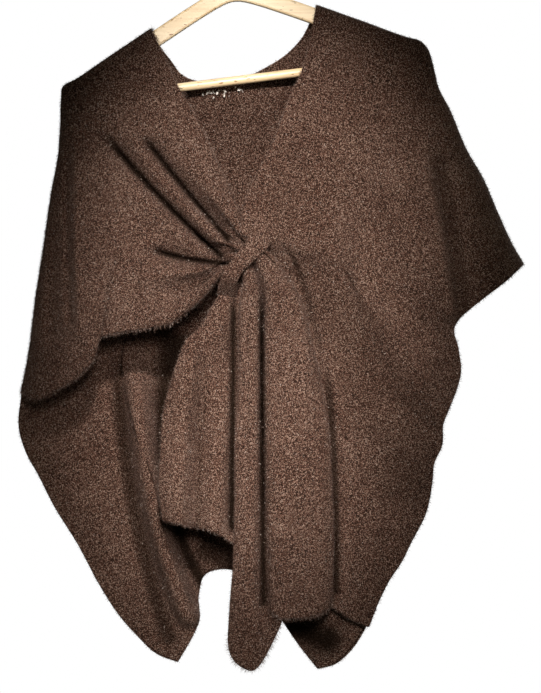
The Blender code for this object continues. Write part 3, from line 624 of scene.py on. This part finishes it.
def edge_line(panel, side, start, end):
    """A stretch of a panel's rim, from a share to a share of its top, bottom, first or last side.

    Gives its points, the way out of the sheet, square to the rim's line and the normal, and the normals.
    """
    rows, columns = panel.world.shape[:2]
    level = side in ("top", "bottom")
    count = (columns if level else rows) - 1
    k = np.arange(int(start * count), int(end * count) + 1)
    fixed = np.full(len(k), {"top": 0, "bottom": rows - 1, "first": 0, "last": columns - 1}[side])
    r, c = (fixed, k) if level else (k, fixed)
    points, face = panel.world[r, c], panel.normal[r, c]
    out = unit(np.cross(np.gradient(points, axis=0), face))
    inner = panel.world[np.clip(r, 1, rows - 2), np.clip(c, 1, columns - 2)]
    return points, out * np.sign((out * (points - inner)).sum(-1).mean()), face


def hem_hairs(name, panel, sides, seed, look, shortest, spacing=0.35):
    """Longer hairs that stand out from a panel's free edges, at random places along each."""
    rng = np.random.default_rng(seed)
    roots, ways, bends = [], [], []
    for side in sides:
        line = edge_line(panel, *side)
        step = np.linalg.norm(np.diff(line[0], axis=0), axis=1)
        along = np.concatenate([[0], np.cumsum(step)])
        count = int(along[-1] / (spacing * MM))
        at = rng.random(count) * along[-1]
        place, out, face = (
            np.stack([np.interp(at, along, field[:, k]) for k in range(3)], axis=1) for field in line
        )
        lean = rng.normal(0, 1, (count, 3))
        roots.append(place + face * rng.uniform(-0.8, 0.8, (count, 1)) * MM)
        ways.append(unit(out + 0.55 * lean + [0, 0, -0.25]))
        bends.append(rng.normal(0, 0.4, (count, 3)) + [0, 0, -0.35])
    root = np.concatenate(roots)
    count = len(root)
    long = shortest * (1.0 + 1.6 * rng.random(count) ** 2) * MM
    width = rng.uniform(*HEM_HAIR_WIDTH, count) * MM
    # The tone is raised by 0.3: painted highlight, so that the edge's hairs look lit and paler than the knit.
    tone = 0.3 + rng.random(count)
    return fibres(name, root, np.concatenate(ways), np.concatenate(bends), long, width, tone, look)


# Materials


class Nodes:
    """A material's node tree, built one node at a time."""

    def __init__(self, name):
        self.look = bpy.data.materials.new(name)
        self.look.use_nodes = True
        self.tree = self.look.node_tree
        self.shader = self.tree.nodes["Principled BSDF"]

    def add(self, kind, settings=None, **inputs):
        """A node, with its settings and its inputs."""
        node = self.tree.nodes.new(kind)
        for key, value in (settings or {}).items():
            setattr(node, key, value)
        self.put(node, inputs)
        return node

    def put(self, node, inputs):
        """Links or sets a node's inputs by name, with _ for a space, or by number, as i0."""
        for key, value in inputs.items():
            socket = node.inputs[int(key[1:]) if key[1:].isdigit() else key.replace("_", " ")]
            if isinstance(value, bpy.types.NodeSocket):
                self.tree.links.new(value, socket)
            else:
                socket.default_value = value

    def finish(self, **inputs):
        """The shader's own inputs."""
        self.put(self.shader, inputs)

    def place(self, kind="Object"):
        """The point's place on the object, or in the UV map."""
        return self.add("ShaderNodeTexCoord").outputs[kind]

    def value(self, name):
        """The number that the mesh's points carry under a name."""
        return self.add("ShaderNodeAttribute", {"attribute_name": name}).outputs["Fac"]

    def maths(self, operation, a, b=0.0):
        """One operation on two numbers."""
        return self.add("ShaderNodeMath", {"operation": operation}, i0=a, i1=b).outputs[0]

    def total(self, *parts):
        """The sum of values, each times its weight."""
        total, *rest = [self.maths("MULTIPLY", value, weight) for value, weight in parts]
        for part in rest:
            total = self.maths("ADD", total, part)
        return total

    def wave(self, value):
        """A sine that repeats each time the value grows by 1."""
        return self.maths("SINE", self.maths("MULTIPLY", value, 2 * pi))

    def noise(self, where, scale, detail, roughness, stretch=None):
        """Noise from 0 to 1, drawn out along an axis where stretch is under 1."""
        if stretch:
            where = self.add("ShaderNodeMapping", None, Vector=where, Scale=stretch).outputs[0]
        inputs = {"Vector": where, "Scale": scale, "Detail": detail, "Roughness": roughness}
        return self.add("ShaderNodeTexNoise", None, **inputs).outputs["Fac"]

    def ramp(self, value, *stops):
        """A colour by a value, from stops of (value, colour). A single number is a grey."""
        node = self.add("ShaderNodeValToRGB", None, Fac=value)
        ramp = node.color_ramp
        while len(ramp.elements) < len(stops):
            ramp.elements.new(0.5)
        for element, (place, colour) in zip(ramp.elements, stops):
            element.position = place
            element.color = (*colour, 1) if isinstance(colour, tuple) else (colour, colour, colour, 1)
        return node.outputs["Color"]

    def mix(self, share, first, second):
        """From a colour to a fixed one by a share."""
        inputs = {"i0": share, "i6": first, "i7": (*second, 1)}
        return self.add("ShaderNodeMix", {"data_type": "RGBA"}, **inputs).outputs[2]

    def bump(self, height, strength, distance):
        """A bump on the shader's normal, with its height in metres."""
        node = self.add("ShaderNodeBump", None, Height=height, Strength=strength, Distance=distance)
        self.finish(Normal=node.outputs[0])


# The first colour is painted shade: the knit goes to it in tight folds and in stripes under the other panels.
KNIT_PAINTED_SHADE = (0.012, 0.008, 0.005)
KNIT_DARK = (0.020, 0.010, 0.006)
KNIT_BROWN = (0.086, 0.039, 0.024)
KNIT_PINK = (0.198, 0.093, 0.064)
KNIT_PALE = (0.450, 0.330, 0.255)


def marl(n):
    """The yarn's own change from dark to pale in small specks, as a value about 0.5: three noises' sum."""
    spot = n.place()
    fine = n.noise(spot, 860, 1, 0.5)
    coarse = n.noise(spot, 380, 2, 0.5)
    wide = n.noise(spot, 12, 3, 0.6)
    return n.total((fine, 0.76), (coarse, 0.16), (wide, 0.08))


def knit_look():
    """The ribbed knit: ribs along the UV's rows, stitches across, and a marled yarn of brown and pale wool.

    Both are sines of the UV map over their spacing, and the ribs wander with a noise. Where the points carry
    painted shade, the colour goes to a near black and the sheen and shine fade with it.
    """
    n = Nodes("brown_knit")
    uv = n.add("ShaderNodeSeparateXYZ", None, Vector=n.place("UV"))
    wander = n.noise(n.place(), 55, 2, 0.5)
    rib = n.wave(n.total((uv.outputs[1], 1 / (RIB * MM)), (wander, 1.1)))
    stitch = n.wave(n.total((uv.outputs[0], 1 / (WALE * MM)), (rib, 0.18)))
    yarn = n.noise(n.place("UV"), 620, 3, 0.7, stretch=(1, 1.7, 1))
    tone = n.total((marl(n), 1.0), (rib, 0.012))
    brown = n.ramp(tone, (0.42, KNIT_DARK), (0.49, KNIT_BROWN), (0.55, KNIT_PINK), (0.61, KNIT_PALE))
    # Painted shade from the mesh: it darkens the colour towards the near black and takes away sheen and
    # shine.
    painted_shade = n.value("painted_shade")
    unshaded_share = n.maths("SUBTRACT", 1.0, painted_shade)
    n.finish(
        Base_Color=n.mix(n.maths("MULTIPLY", painted_shade, 0.93), brown, KNIT_PAINTED_SHADE),
        Roughness=0.95,
        Specular_IOR_Level=n.maths("MULTIPLY", unshaded_share, 0.12),
        Sheen_Weight=n.maths("MULTIPLY", unshaded_share, 0.08),
        Sheen_Roughness=0.6,
        Sheen_Tint=(0.75, 0.6, 0.52, 1),
    )
    n.bump(n.total((rib, 0.2), (stitch, 0.15), (yarn, 1.6)), 0.9, 0.0012)
    return n.look


def hair_look():
    """The knit's hairs: most brown, some dark and a few pale, by the yarn's marl and each hair's own tone."""
    n = Nodes("brown_hairs")
    own = n.maths("SUBTRACT", n.value("tone"), 0.5)
    colour = n.ramp(
        n.total((marl(n), 1.0), (own, 0.16)),
        (0.41, (0.026, 0.013, 0.008)),
        (0.49, (0.086, 0.040, 0.027)),
        (0.56, (0.190, 0.091, 0.063)),
        (0.63, (0.380, 0.275, 0.215)),
        (0.72, (0.720, 0.630, 0.560)),
    )
    n.finish(Base_Color=colour, Roughness=0.65, Specular_IOR_Level=0.3)
    return n.look


def wood_look(name, lean):
    """Pale wood: long soft grain and short dark flecks along x, turned by lean, with a satin finish."""
    n = Nodes(name)
    turned = n.add("ShaderNodeMapping", None, Vector=n.place(), Rotation=(0, lean, 0)).outputs[0]
    grain = n.noise(turned, 420, 4, 0.55, stretch=(0.05, 1, 1))
    ring = n.noise(turned, 60, 3, 0.5, stretch=(0.12, 1, 1))
    fleck = n.noise(turned, 520, 1, 0.4, stretch=(0.22, 1, 1))
    tone = n.total((grain, 0.5), (ring, 0.5))
    wood = n.ramp(tone, (0.30, (0.60, 0.38, 0.18)), (0.46, (0.82, 0.60, 0.34)), (0.62, (0.92, 0.74, 0.48)))
    dark = n.ramp(fleck, (0.665, 0), (0.72, 1))
    n.finish(
        Base_Color=n.mix(dark, wood, (0.33, 0.17, 0.075)),
        Roughness=n.ramp(grain, (0.3, 0.36), (0.7, 0.55)),
        Coat_Weight=0.2,
        Coat_Roughness=0.25,
    )
    n.bump(n.total((grain, 1.0), (fleck, -0.4)), 0.25, 0.0004)
    return n.look


def steel_look():
    """Drawn steel wire: fine lines along it and small dull spots."""
    n = Nodes("steel_wire")
    draw = n.noise(n.place(), 1600, 3, 0.6, stretch=(1, 1, 0.2))
    spots = n.noise(n.place(), 260, 3, 0.6)
    n.finish(
        Base_Color=n.ramp(spots, (0.3, (0.52, 0.51, 0.50)), (0.7, (0.66, 0.65, 0.64))),
        Metallic=1.0,
        Roughness=n.ramp(n.total((draw, 0.5), (spots, 0.5)), (0.35, 0.16), (0.7, 0.42)),
    )
    n.bump(draw, 0.1, 0.0002)
    return n.look


def pale_yarn_look():
    """The loose stitches' pale yarn, a little uneven in colour and height."""
    n = Nodes("pale_yarn")
    twist = n.noise(n.place(), 1500, 2, 0.6)
    n.finish(
        Base_Color=n.ramp(twist, (0.3, (0.62, 0.55, 0.48)), (0.7, (0.92, 0.87, 0.80))),
        Roughness=0.85,
    )
    n.bump(twist, 0.5, 0.0004)
    return n.look


def floor_look():
    """A pale, dull floor with faint clouds of tone."""
    n = Nodes("pale_floor")
    cloud = n.noise(n.place(), 3, 3, 0.5)
    n.finish(Base_Color=n.ramp(cloud, (0.3, (0.80, 0.79, 0.77)), (0.7, (0.84, 0.83, 0.82))), Roughness=0.8)
    return n.look


# The panels of knit


def shoulder_parts(table):
    """The shoulder line's rows from the neck to the hanger's end, and from there to the wrist."""
    on_hanger = spline(table[: END_ROW + 1], 1 - crowded(ARM_COLUMNS, CORNER_POWER)[::-1])
    return on_hanger, spline(table[END_ROW:], crowded(DRAPE_ROWS, CORNER_POWER))


def back_panel():
    """The back: its top edge is the arms and the neckline, its side edges the drapes and the free edges."""
    left_arm, left_drape = shoulder_parts(LEFT_SHOULDER)
    right_arm, right_drape = shoulder_parts(RIGHT_SHOULDER)
    neck_ends = [left_arm[:1, TO_BACK], right_arm[:1, TO_BACK]]
    neck = spline(np.vstack([neck_ends[0], NECKLINE, neck_ends[1]]), NECK_FRACTIONS)
    top = np.vstack([left_arm[:0:-1, TO_BACK], neck_ends[0], neck, neck_ends[1], right_arm[1:, TO_BACK]])
    free = evenly(FREE_ROWS + 1)[1:]
    first, last = (
        np.vstack([drape[:, TO_BACK], spline([drape[-1, TO_BACK], *edge], free)])
        for drape, edge in ((left_drape, BACK_LEFT_EDGE), (right_drape, BACK_RIGHT_EDGE))
    )
    u = fractions(top)
    bottom = spline([BACK_LEFT_EDGE[-1], *BACK_HEM], u)
    sheet = patch(top, bottom, first, last, u, 0.5 * (fractions(first) + fractions(last)))
    relaxed(sheet[..., 2], BACK_TURNS)
    add_folds(sheet, BACK_FOLDS)
    add_folds(sheet, STRAND_RIDGE, power=4.0)
    relaxed(sheet[..., 2], FOLDED_BACK_TURNS)
    lines = [np.vstack([left_arm, left_drape[1:]])[:, :4], np.vstack([right_arm, right_drape[1:]])[:, :4]]
    for line in lines:
        line[:, 2] += 0.5 * SHOULDER_SEAM
    round_over(sheet, lines)
    arms = [np.s_[0, :ARM_COLUMNS], np.s_[0, -ARM_COLUMNS:]]
    return faced(sheet, [*arms, np.s_[:DRAPE_ROWS, 0], np.s_[:DRAPE_ROWS, -1]])


def bundle_section(u, ahead=0.0):
    """The gathers' section under the band, or ahead along them, without its pleats.

    It is a straight line across the way they run, and its y bulges forward on a parabola.
    """
    turn = radians(BUNDLE_TURN)
    across = BUNDLE_HALF_HEIGHT * (1 - 2 * u)
    x = BUNDLE[0] + across * sin(turn) + ahead * cos(turn)
    drop = BUNDLE[1] - across * cos(turn) + ahead * sin(turn)
    return np.column_stack([x, drop, BUNDLE_BACK - BUNDLE_BULGE * (1 - (1 - 2 * u) ** 2)])


def add_pleats(sheet, down):
    """Pleats that deepen towards the band.

    y follows a cosine whose troughs are narrower than its ridges, and the points crowd to its steep sides.
    """
    u = evenly(sheet.shape[1])
    at, starts = np.array(PLEATS).T
    phase = np.interp(u, at, np.arange(len(at)))
    phase = np.where(u < at[0], (u - at[0]) / (2 * at[0]), phase)
    phase = np.where(u > at[-1], len(at) - 1 + (u - at[-1]) / (2 * (1 - at[-1])), phase)
    step = np.gradient(u, phase)
    start = np.interp(u, at, starts)
    wave = 1 - 2 * (0.5 - 0.5 * np.cos(pi * phase)) ** TROUGH_POWER
    for row, share in zip(sheet, down):
        grown = soft_step((share - start) / (1 - start))
        wide = np.linalg.norm(np.diff(row[:, :2], axis=0), axis=1).sum()
        depth = PLEAT_DEPTH * np.tanh(PLEAT_STEEPNESS * wide * step) * grown
        crowd = u + step * grown * PLEAT_CROWDING * np.sin(2 * pi * phase)
        for k in range(3):
            row[:, k] = np.interp(crowd, u, row[:, k])
        row[:, 2] -= depth * wave


def front_patch(table, columns, rows, edges, bottom, folded, turns):
    """A front's sheet, hung from a shoulder line and evened out in turns.

    Gives the sheet, how far down each row is, and the shoulder line that it is to round over.
    """
    line = spline(table, evenly(columns))
    top = line[:, TO_FRONT]
    down = crowded(rows, DOWN_POWER)
    first, last = (spline([top[k], *edge, bottom[k]], down) for k, edge in zip((0, -1), edges))
    sheet = patch(top, bottom, first, last, evenly(columns), down)
    relaxed(sheet, turns)
    add_folds(sheet, folded)
    line[:, 2] -= 0.5 * SHOULDER_SEAM
    return sheet, down, line[:, :4]


def front_panel(sheet, line):
    """A front's panel, rounded over its shoulder line."""
    round_over(sheet, [line])
    return faced(sheet, [0])


def right_front():
    """The front on the wearer's right, the viewer's left. Column 0 is its neck edge."""
    bottom = bundle_section(evenly(GATHER_COLUMNS))
    edges = (GATHER_NECK_EDGE, GATHER_SIDE_EDGE)
    sheet, down, line = front_patch(
        LEFT_SHOULDER, GATHER_COLUMNS, GATHER_ROWS, edges, bottom, GATHER_FOLDS, GATHER_TURNS
    )
    add_folds(sheet, GATHER_VALLEYS, power=1.6, pinch=0.45)
    add_pleats(sheet, down)
    return front_panel(sheet, line)


def left_front():
    """The front on the viewer's right, and its sheet.

    Column 0 is its neck edge and, below the slit, the flap's edge.
    """
    bottom = spline([FRONT_INNER_EDGE[-1], *FRONT_HEM], evenly(FRONT_COLUMNS))
    edges = (FRONT_INNER_EDGE[:-1], FRONT_SIDE_EDGE[:-1])
    sheet, _, line = front_patch(
        RIGHT_SHOULDER, FRONT_COLUMNS, FRONT_ROWS, edges, bottom, FRONT_FOLDS, FRONT_TURNS
    )
    return front_panel(sheet, line), sheet


def tail_section(row):
    """Thirteen places across the tail: (across, y). It turns back behind each strand's outer edge."""
    wide = row.right - row.gap
    narrow = row.fold - row.left
    near = row.narrow_front
    return np.array([
        (row.right - 0.36 * wide, TAIL_BACK),
        (row.right - 0.05 * wide, TAIL_BACK - 7),
        (row.right, TAIL_BACK - 16),
        (row.right - 0.13 * wide, row.front + 5),
        (row.right - 0.5 * wide, row.front),
        (row.gap + 0.12 * wide, row.front + 3),
        (row.gap, row.front + 9),
        (row.fold, row.deep),
        (row.fold - 0.15 * narrow, near + 5),
        (row.fold - 0.6 * narrow, near),
        (row.left, near + 6),
        (row.left + 0.12 * narrow, TAIL_BACK - 4),
        (row.left + 0.5 * narrow, TAIL_BACK),
    ])


def tail():
    """The gathers from the band to the hem. Column 0 is behind the wide strand, the last the narrow one.

    Smooth curves run through each section's places, and down from section to section. Towards the end the
    rows bend to the hem's line.
    """
    u = evenly(TAIL_COLUMNS)
    start = bundle_section(u, SEAM)[None]
    add_pleats(start, np.ones(1))
    sections = [start[0]]
    hem = [np.full(TAIL_COLUMNS, TAIL_HEM_LEVEL)]
    for row in TAIL_ROWS:
        points = tail_section(row)
        across, y = spline(points, u).T
        turn = radians(row.turn)
        sections.append(np.column_stack([row.x + across * sin(turn), row.drop - across * cos(turn), y]))
        hem.append(through(fractions(points), TAIL_HEM, u))
    along = fractions(np.array([BUNDLE, *[(row.x, row.drop) for row in TAIL_ROWS]]))
    down = evenly(TAIL_LENGTHS)
    sheet = through(along, sections, down)
    bend = soft_step((down - TAIL_HEM_START) / (1 - TAIL_HEM_START))
    sheet[..., 1] += (through(along, hem, down) - TAIL_HEM_LEVEL) * bend[:, None]
    add_folds(sheet, TAIL_CREASES)
    return faced(sheet)


def lying_on(sheet, row):
    """The y of a band's end, which runs into the knit of the sheet that it is part of."""
    far = np.hypot(sheet[..., 0] - row.x, sheet[..., 1] - row.drop)
    return sheet[..., 2][far < BAND_WIDE].mean() - 0.25 * KNIT


def loop_band(front):
    """The strip of the left front beside its slit, which holds the gathers.

    It spans a width square to its middle line, and its edges roll back by the fourth power of the place
    across.
    """
    start, *over, end = BAND_PATH
    path = [start._replace(y=lying_on(front, start)), *over, end._replace(y=lying_on(front, end))]
    middle = spline(path, evenly(BAND_LENGTHS))
    way = np.gradient(middle[:, :2], axis=0)
    side = unit(np.column_stack([way[:, 1], -way[:, 0]]))
    reach = np.linspace(-0.5, 0.5, BAND_COLUMNS)
    across = middle[:, 3:] * reach
    sheet = np.empty((BAND_LENGTHS, BAND_COLUMNS, 3))
    sheet[..., :2] = middle[:, None, :2] + side[:, None] * across[..., None]
    sheet[..., 2] = middle[:, 2:3] + BAND_ROLL * (2 * reach) ** 4
    return faced(sheet)


def tube(name, path, radius, sides, look):
    """A round rod with domed ends, carried along a path in the hanger's plane.

    Rings of points stand square to the path, and at each end three more close in on a flat dome.
    """
    path = np.array([hanger(a, b) for a, b in path])
    centre = np.column_stack([path[:, 0], 0 * path[:, 0], -path[:, 1]])
    way = unit(np.gradient(centre, axis=0))
    out = radius * DOME * np.sin(DOME_ANGLES)[:, None]
    shrunk = radius * np.cos(DOME_ANGLES)
    size = np.concatenate([shrunk[::-1], np.full(len(centre), radius), shrunk])
    centre = np.vstack([(centre[0] - out * way[0])[::-1], centre, centre[-1] + out * way[-1]])
    way = np.vstack([way[:1].repeat(3, 0), way, way[-1:].repeat(3, 0)])
    turn = np.linspace(0, 2 * pi, sides, endpoint=False)[None, :, None]
    around = np.cos(turn) * np.cross(way, SIDEWAYS)[:, None] + np.sin(turn) * SIDEWAYS
    rings = centre[:, None] + size[:, None, None] * around
    i = np.arange(len(centre) * sides).reshape(-1, sides)
    j = np.roll(i, -1, axis=1)
    quads = np.stack([i[:-1].ravel(), j[:-1].ravel(), j[1:].ravel(), i[1:].ravel()], 1)
    points = np.vstack([rings.reshape(-1, 3), centre[:1], centre[-1:]]) * MM
    low = np.stack([j[0], i[0], np.full(sides, i.size)], 1)
    high = np.stack([i[-1], j[-1], np.full(sides, i.size + 1)], 1)
    piece = add_mesh(name, points, [quads, low, high], look)
    return piece


def hook_path():
    """Up from the arms by a stem and round the rail's place on a circle, open below on one side."""
    radius = HOOK_INSIDE_RADIUS + WIRE_RADIUS
    foot = ARM_APEX + ARM_HALF_HEIGHT - HOOK_SUNK
    stem = [(0, foot), (0, foot + 12), (0, foot + 19), (2, foot + 26), (6, foot + 30.5)]
    turn = np.radians(np.linspace(*HOOK_ARC, 60))
    bow = np.column_stack([radius * np.cos(turn), radius * np.sin(turn) - HOOK_INSIDE_RADIUS])
    return spline(np.vstack([stem, bow]), evenly(120))


def loose_stitches(look):
    """The open end stitches of the back's neckline: small pale loops of yarn, scattered below the edge.

    Each is a thin ring of yarn round an ellipse that is tilted at random.
    """
    rng = np.random.default_rng(51)
    x = np.clip(rng.normal(STITCH_MIDDLE, STITCH_SPREAD, LOOSE_STITCHES), *STITCH_ENDS)
    edge = spline(NECKLINE, evenly(60))
    drop = np.interp(x, edge[:, 0], edge[:, 1])
    y = np.interp(x, edge[:, 0], edge[:, 2])
    turn = np.linspace(0, 2 * pi, STITCH_SIDES, endpoint=False)
    out = unit(np.column_stack([np.cos(turn), 0 * turn, np.sin(turn)]))
    ring = np.linspace(0, 2 * pi, YARN_SIDES, endpoint=False)[None, :, None]
    yarn = np.cos(ring) * out[:, None] + np.sin(ring) * SIDEWAYS
    loops = []
    for k in range(LOOSE_STITCHES):
        tilt = rng.uniform(-1.5, 1.5)
        a, b = rng.uniform(0.3, 0.8) * np.cos(turn), rng.uniform(0.5, 1.5) * np.sin(turn)
        centre = np.column_stack([
            x[k] + a * cos(tilt) - b * sin(tilt),
            y[k] - 2.6 - 0.4 * np.cos(turn),
            a * sin(tilt) + b * cos(tilt) - drop[k] - rng.uniform(*STITCH_DROP),
        ])
        loops.append((centre[:, None] + rng.uniform(0.3, 0.6) * yarn).reshape(-1, 3))
    i = np.arange(LOOSE_STITCHES * STITCH_SIDES * YARN_SIDES).reshape(-1, STITCH_SIDES, YARN_SIDES)
    j = np.roll(i, -1, axis=1)
    faces = np.stack([i, j, np.roll(j, -1, 2), np.roll(i, -1, 2)], -1).reshape(-1, 4)
    piece = add_mesh("neck_stitches", np.vstack(loops) * MM, [faces], look)
    return piece


def shown_below(world):
    """A share for each cell of the back's inner face: 1 where it shows under the fronts or in the neck."""
    middle = 0.25 * (world[1:, 1:] + world[:-1, 1:] + world[1:, :-1] + world[:-1, :-1]) / MM
    x, drop = middle[..., 0], -middle[..., 2]
    neck = (np.abs(x) < 100) & (drop < 380)
    low_left = (x < 20) & (drop > 380)
    low_right = (x > 40) & (drop > 760)
    return np.where(neck | low_left | low_right, 1.0, HIDDEN_SHARE)


# The pieces
knit = knit_look()
hairs = hair_look()

back = back_panel()
gather = right_front()
front, front_sheet = left_front()
hang = tail()
band = loop_band(front_sheet)

# Each wall gets painted shade in its tight bends and along its stripes of painted shade, and its hairs thin
# out there.
back_piece = shell("back_panel_knit", back, knit, UNDER_SHADE_STRIPES)
gather_piece = shell("right_front_knit", gather, knit, GATHER_VALLEYS)
front_piece = shell("left_front_knit", front, knit, FLAP_SHADE_STRIPES)
tail_piece = shell("tail_knit", hang, knit, STRAND_SHADE_STRIPES)
band_piece = shell("loop_band_knit", band, knit)

seen_share = shown_below(back.world)
back_inside = fuzz("back_hairs_inside", back, 62000, 11, hairs, where=seen_share, shade_stripes=UNDER_SHADE_STRIPES)
back_outside = fuzz("back_hairs_outside", back, 62000, 12, hairs, side=-1)
gather_hairs = fuzz("right_front_hairs", gather, 66000, 13, hairs, shade_stripes=GATHER_VALLEYS)
front_hairs = fuzz("left_front_hairs", front, 86000, 14, hairs, shade_stripes=FLAP_SHADE_STRIPES)
tail_hairs = fuzz("tail_hairs", hang, 56000, 15, hairs, shade_stripes=STRAND_SHADE_STRIPES)
band_hairs = fuzz("loop_band_hairs", band, 2600, 16, hairs, length=(1.5, 3.5))

free = DRAPE_ROWS / (DRAPE_ROWS + FREE_ROWS)
neck = ARM_COLUMNS / back.world.shape[1]
back_edges = [("top", neck, 1 - neck), ("bottom", 0, 1), ("first", free, 1), ("last", free, 1)]
gather_edges = [("first", 0, 1), ("last", 0, 1)]
front_edges = [("first", 0, 1), ("bottom", 0, 1), ("last", 0, 1)]
tail_edges = [("first", 0.05, 1), ("bottom", 0, 1), ("last", 0.05, 1)]
back_hem = hem_hairs("back_hem_hairs", back, back_edges, 21, hairs, 1.8)
gather_hem = hem_hairs("right_front_hem_hairs", gather, gather_edges, 22, hairs, 3.6, spacing=0.25)
front_hem = hem_hairs("left_front_hem_hairs", front, front_edges, 23, hairs, 2.2)
tail_hem = hem_hairs("tail_hem_hairs", hang, tail_edges, 24, hairs, 3.4, spacing=0.25)
stitches = loose_stitches(pale_yarn_look())

# The hanger
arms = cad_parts["hanger_body"]
arms.data.materials.clear()
arms.data.materials.append(wood_look("pale_wood_arms", 0.0))
bar_reach = HEEL_START - SEAM - BAR_END
bar_path = [(a, BAR_AXIS) for a in np.linspace(-bar_reach, bar_reach, 40)]
bar = tube("hanger_bar_round", bar_path, BAR_RADIUS, 40, wood_look("pale_wood_bar", TILT))
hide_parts("hanger_bar")
hook = tube("hanger_hook_wire", hook_path(), WIRE_RADIUS, 24, steel_look())
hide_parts("hanger_hook")

# The stage
FLOOR_LEVEL = -1.35
FLOOR_RADIUS = 1.6
FLOOR_CORNERS = 64


def floor():
    """A round floor under the hanging poncho: one flat disc, its corners on a circle."""
    turn = np.linspace(0, 2 * pi, FLOOR_CORNERS, endpoint=False)
    circle = np.column_stack([np.cos(turn), np.sin(turn), 0 * turn])
    points = FLOOR_RADIUS * circle + [0, 0, FLOOR_LEVEL]
    mesh = bpy.data.meshes.new("floor")
    mesh.from_pydata(points.tolist(), [], [list(range(FLOOR_CORNERS))])
    mesh.materials.append(floor_look())
    piece = bpy.data.objects.new("floor", mesh)
    bpy.context.scene.collection.objects.link(piece)
    piece.visible_diffuse = False
    return piece


def lamp(name, kind, place, target, energy, **settings):
    """A lamp at a place, turned to a target, with its power in watts."""
    data = bpy.data.lights.new(name, kind)
    data.energy = energy
    for key, value in settings.items():
        setattr(data, key, value)
    light = bpy.data.objects.new(name, data)
    light.location = place
    way = Vector(target) - Vector(place)
    light.rotation_euler = way.to_track_quat("-Z", "Y").to_euler()
    bpy.context.scene.collection.objects.link(light)
    return light


def spot(name, place, target, energy, angle, blend, size, colour):
    """A lamp with a round beam of an angle in degrees, whose edge is softer with blend and with size."""
    return lamp(name, "SPOT", place, target, energy,
                spot_size=radians(angle), spot_blend=blend, shadow_soft_size=size, color=colour)


def light_only(light, name, pieces):
    """Lets a lamp reach nothing but some pieces."""
    group = bpy.data.collections.new(name)
    for piece in pieces:
        group.objects.link(piece)
    light.light_linking.receiver_collection = group


# Two tall beams light the middle and fade to the sides, and a weak one lights the right sleeve. The hanger
# and the floor have lamps that reach nothing else. One lamp stands behind.
ROSE = (1.0, 0.92, 0.88)
key = spot("key", (0.0, -1.6, 0.40), (0.044, 0.0, -0.43), 128.0, 15.6, 0.42, 0.07, ROSE)
key.scale = (1.0, 1.36, 1.0)
glow = spot("glow", (0.1, -2.0, -0.2), (-0.01, 0.0, -0.70), 150.0, 10.5, 0.8, 0.2, ROSE)
glow.scale = (1.0, 2.2, 1.0)
spot("sleeve_light", (1.2, -1.5, 0.1), (0.31, 0.0, -0.34), 28.0, 10.5, 1.0, 0.2, (1.0, 0.96, 0.86))
hanger_light = spot("hanger_light", (0.0, -1.3, 0.3), (0.005, 0.0, -0.105), 82.0, 16, 0.8, 0.15,
                    (1.0, 0.98, 0.95))
light_only(hanger_light, "lit_wood", [arms, bar, hook, stitches])
lamp("back_fill", "AREA", (0.7, 2.0, 0.4), (0.05, 0.0, -0.5), 42.0, size=1.5)
floor_light = lamp("floor_light", "AREA", (0.3, 0.0, 1.2), (0.0, 0.0, FLOOR_LEVEL), 75.0, size=2.5)
light_only(floor_light, "lit_floor", [floor()])
bpy.context.scene.view_settings.view_transform = "Standard"

# The room is white to look at and lights the object only dimly
world = bpy.data.worlds.new("white_room")
bpy.context.scene.world = world
world.use_nodes = True
tree = world.node_tree
seen = tree.nodes["Background"]
dim = tree.nodes.new("ShaderNodeBackground")
for node, colour, strength in ((seen, (1, 1, 1, 1), 1.0), (dim, (0.98, 1.0, 0.84, 1), 0.055)):
    node.inputs["Color"].default_value = colour
    node.inputs["Strength"].default_value = strength
path = tree.nodes.new("ShaderNodeLightPath")
both = tree.nodes.new("ShaderNodeMixShader")
tree.links.new(path.outputs["Is Camera Ray"], both.inputs[0])
tree.links.new(dim.outputs[0], both.inputs[1])
tree.links.new(seen.outputs[0], both.inputs[2])
tree.links.new(both.outputs[0], tree.nodes["World Output"].inputs[0])

# The camera looks straight at the front, level with the middle of the photo, which is 693 pixels high
PIXEL = 1.189  # millimetres of the object at the hanger
PHOTO_HEIGHT = 693
PHOTO_MIDDLE = (270.5, 346.5)
ORIGIN_PIXEL = (224.9, -74.5)
VIEW_DISTANCE = 4.0
SENSOR = 36.0
middle_x, middle_drop = ((middle - origin) * PIXEL for middle, origin in zip(PHOTO_MIDDLE, ORIGIN_PIXEL))
view = bpy.data.cameras.new("camera")
view.sensor_width = SENSOR
view.lens = SENSOR * VIEW_DISTANCE / (PHOTO_HEIGHT * PIXEL * MM)
camera = bpy.data.objects.new("camera", view)
camera.location = (middle_x * MM, -VIEW_DISTANCE, -middle_drop * MM)
camera.rotation_euler = (radians(90), 0, 0)
bpy.context.scene.collection.objects.link(camera)
bpy.context.scene.camera = camera
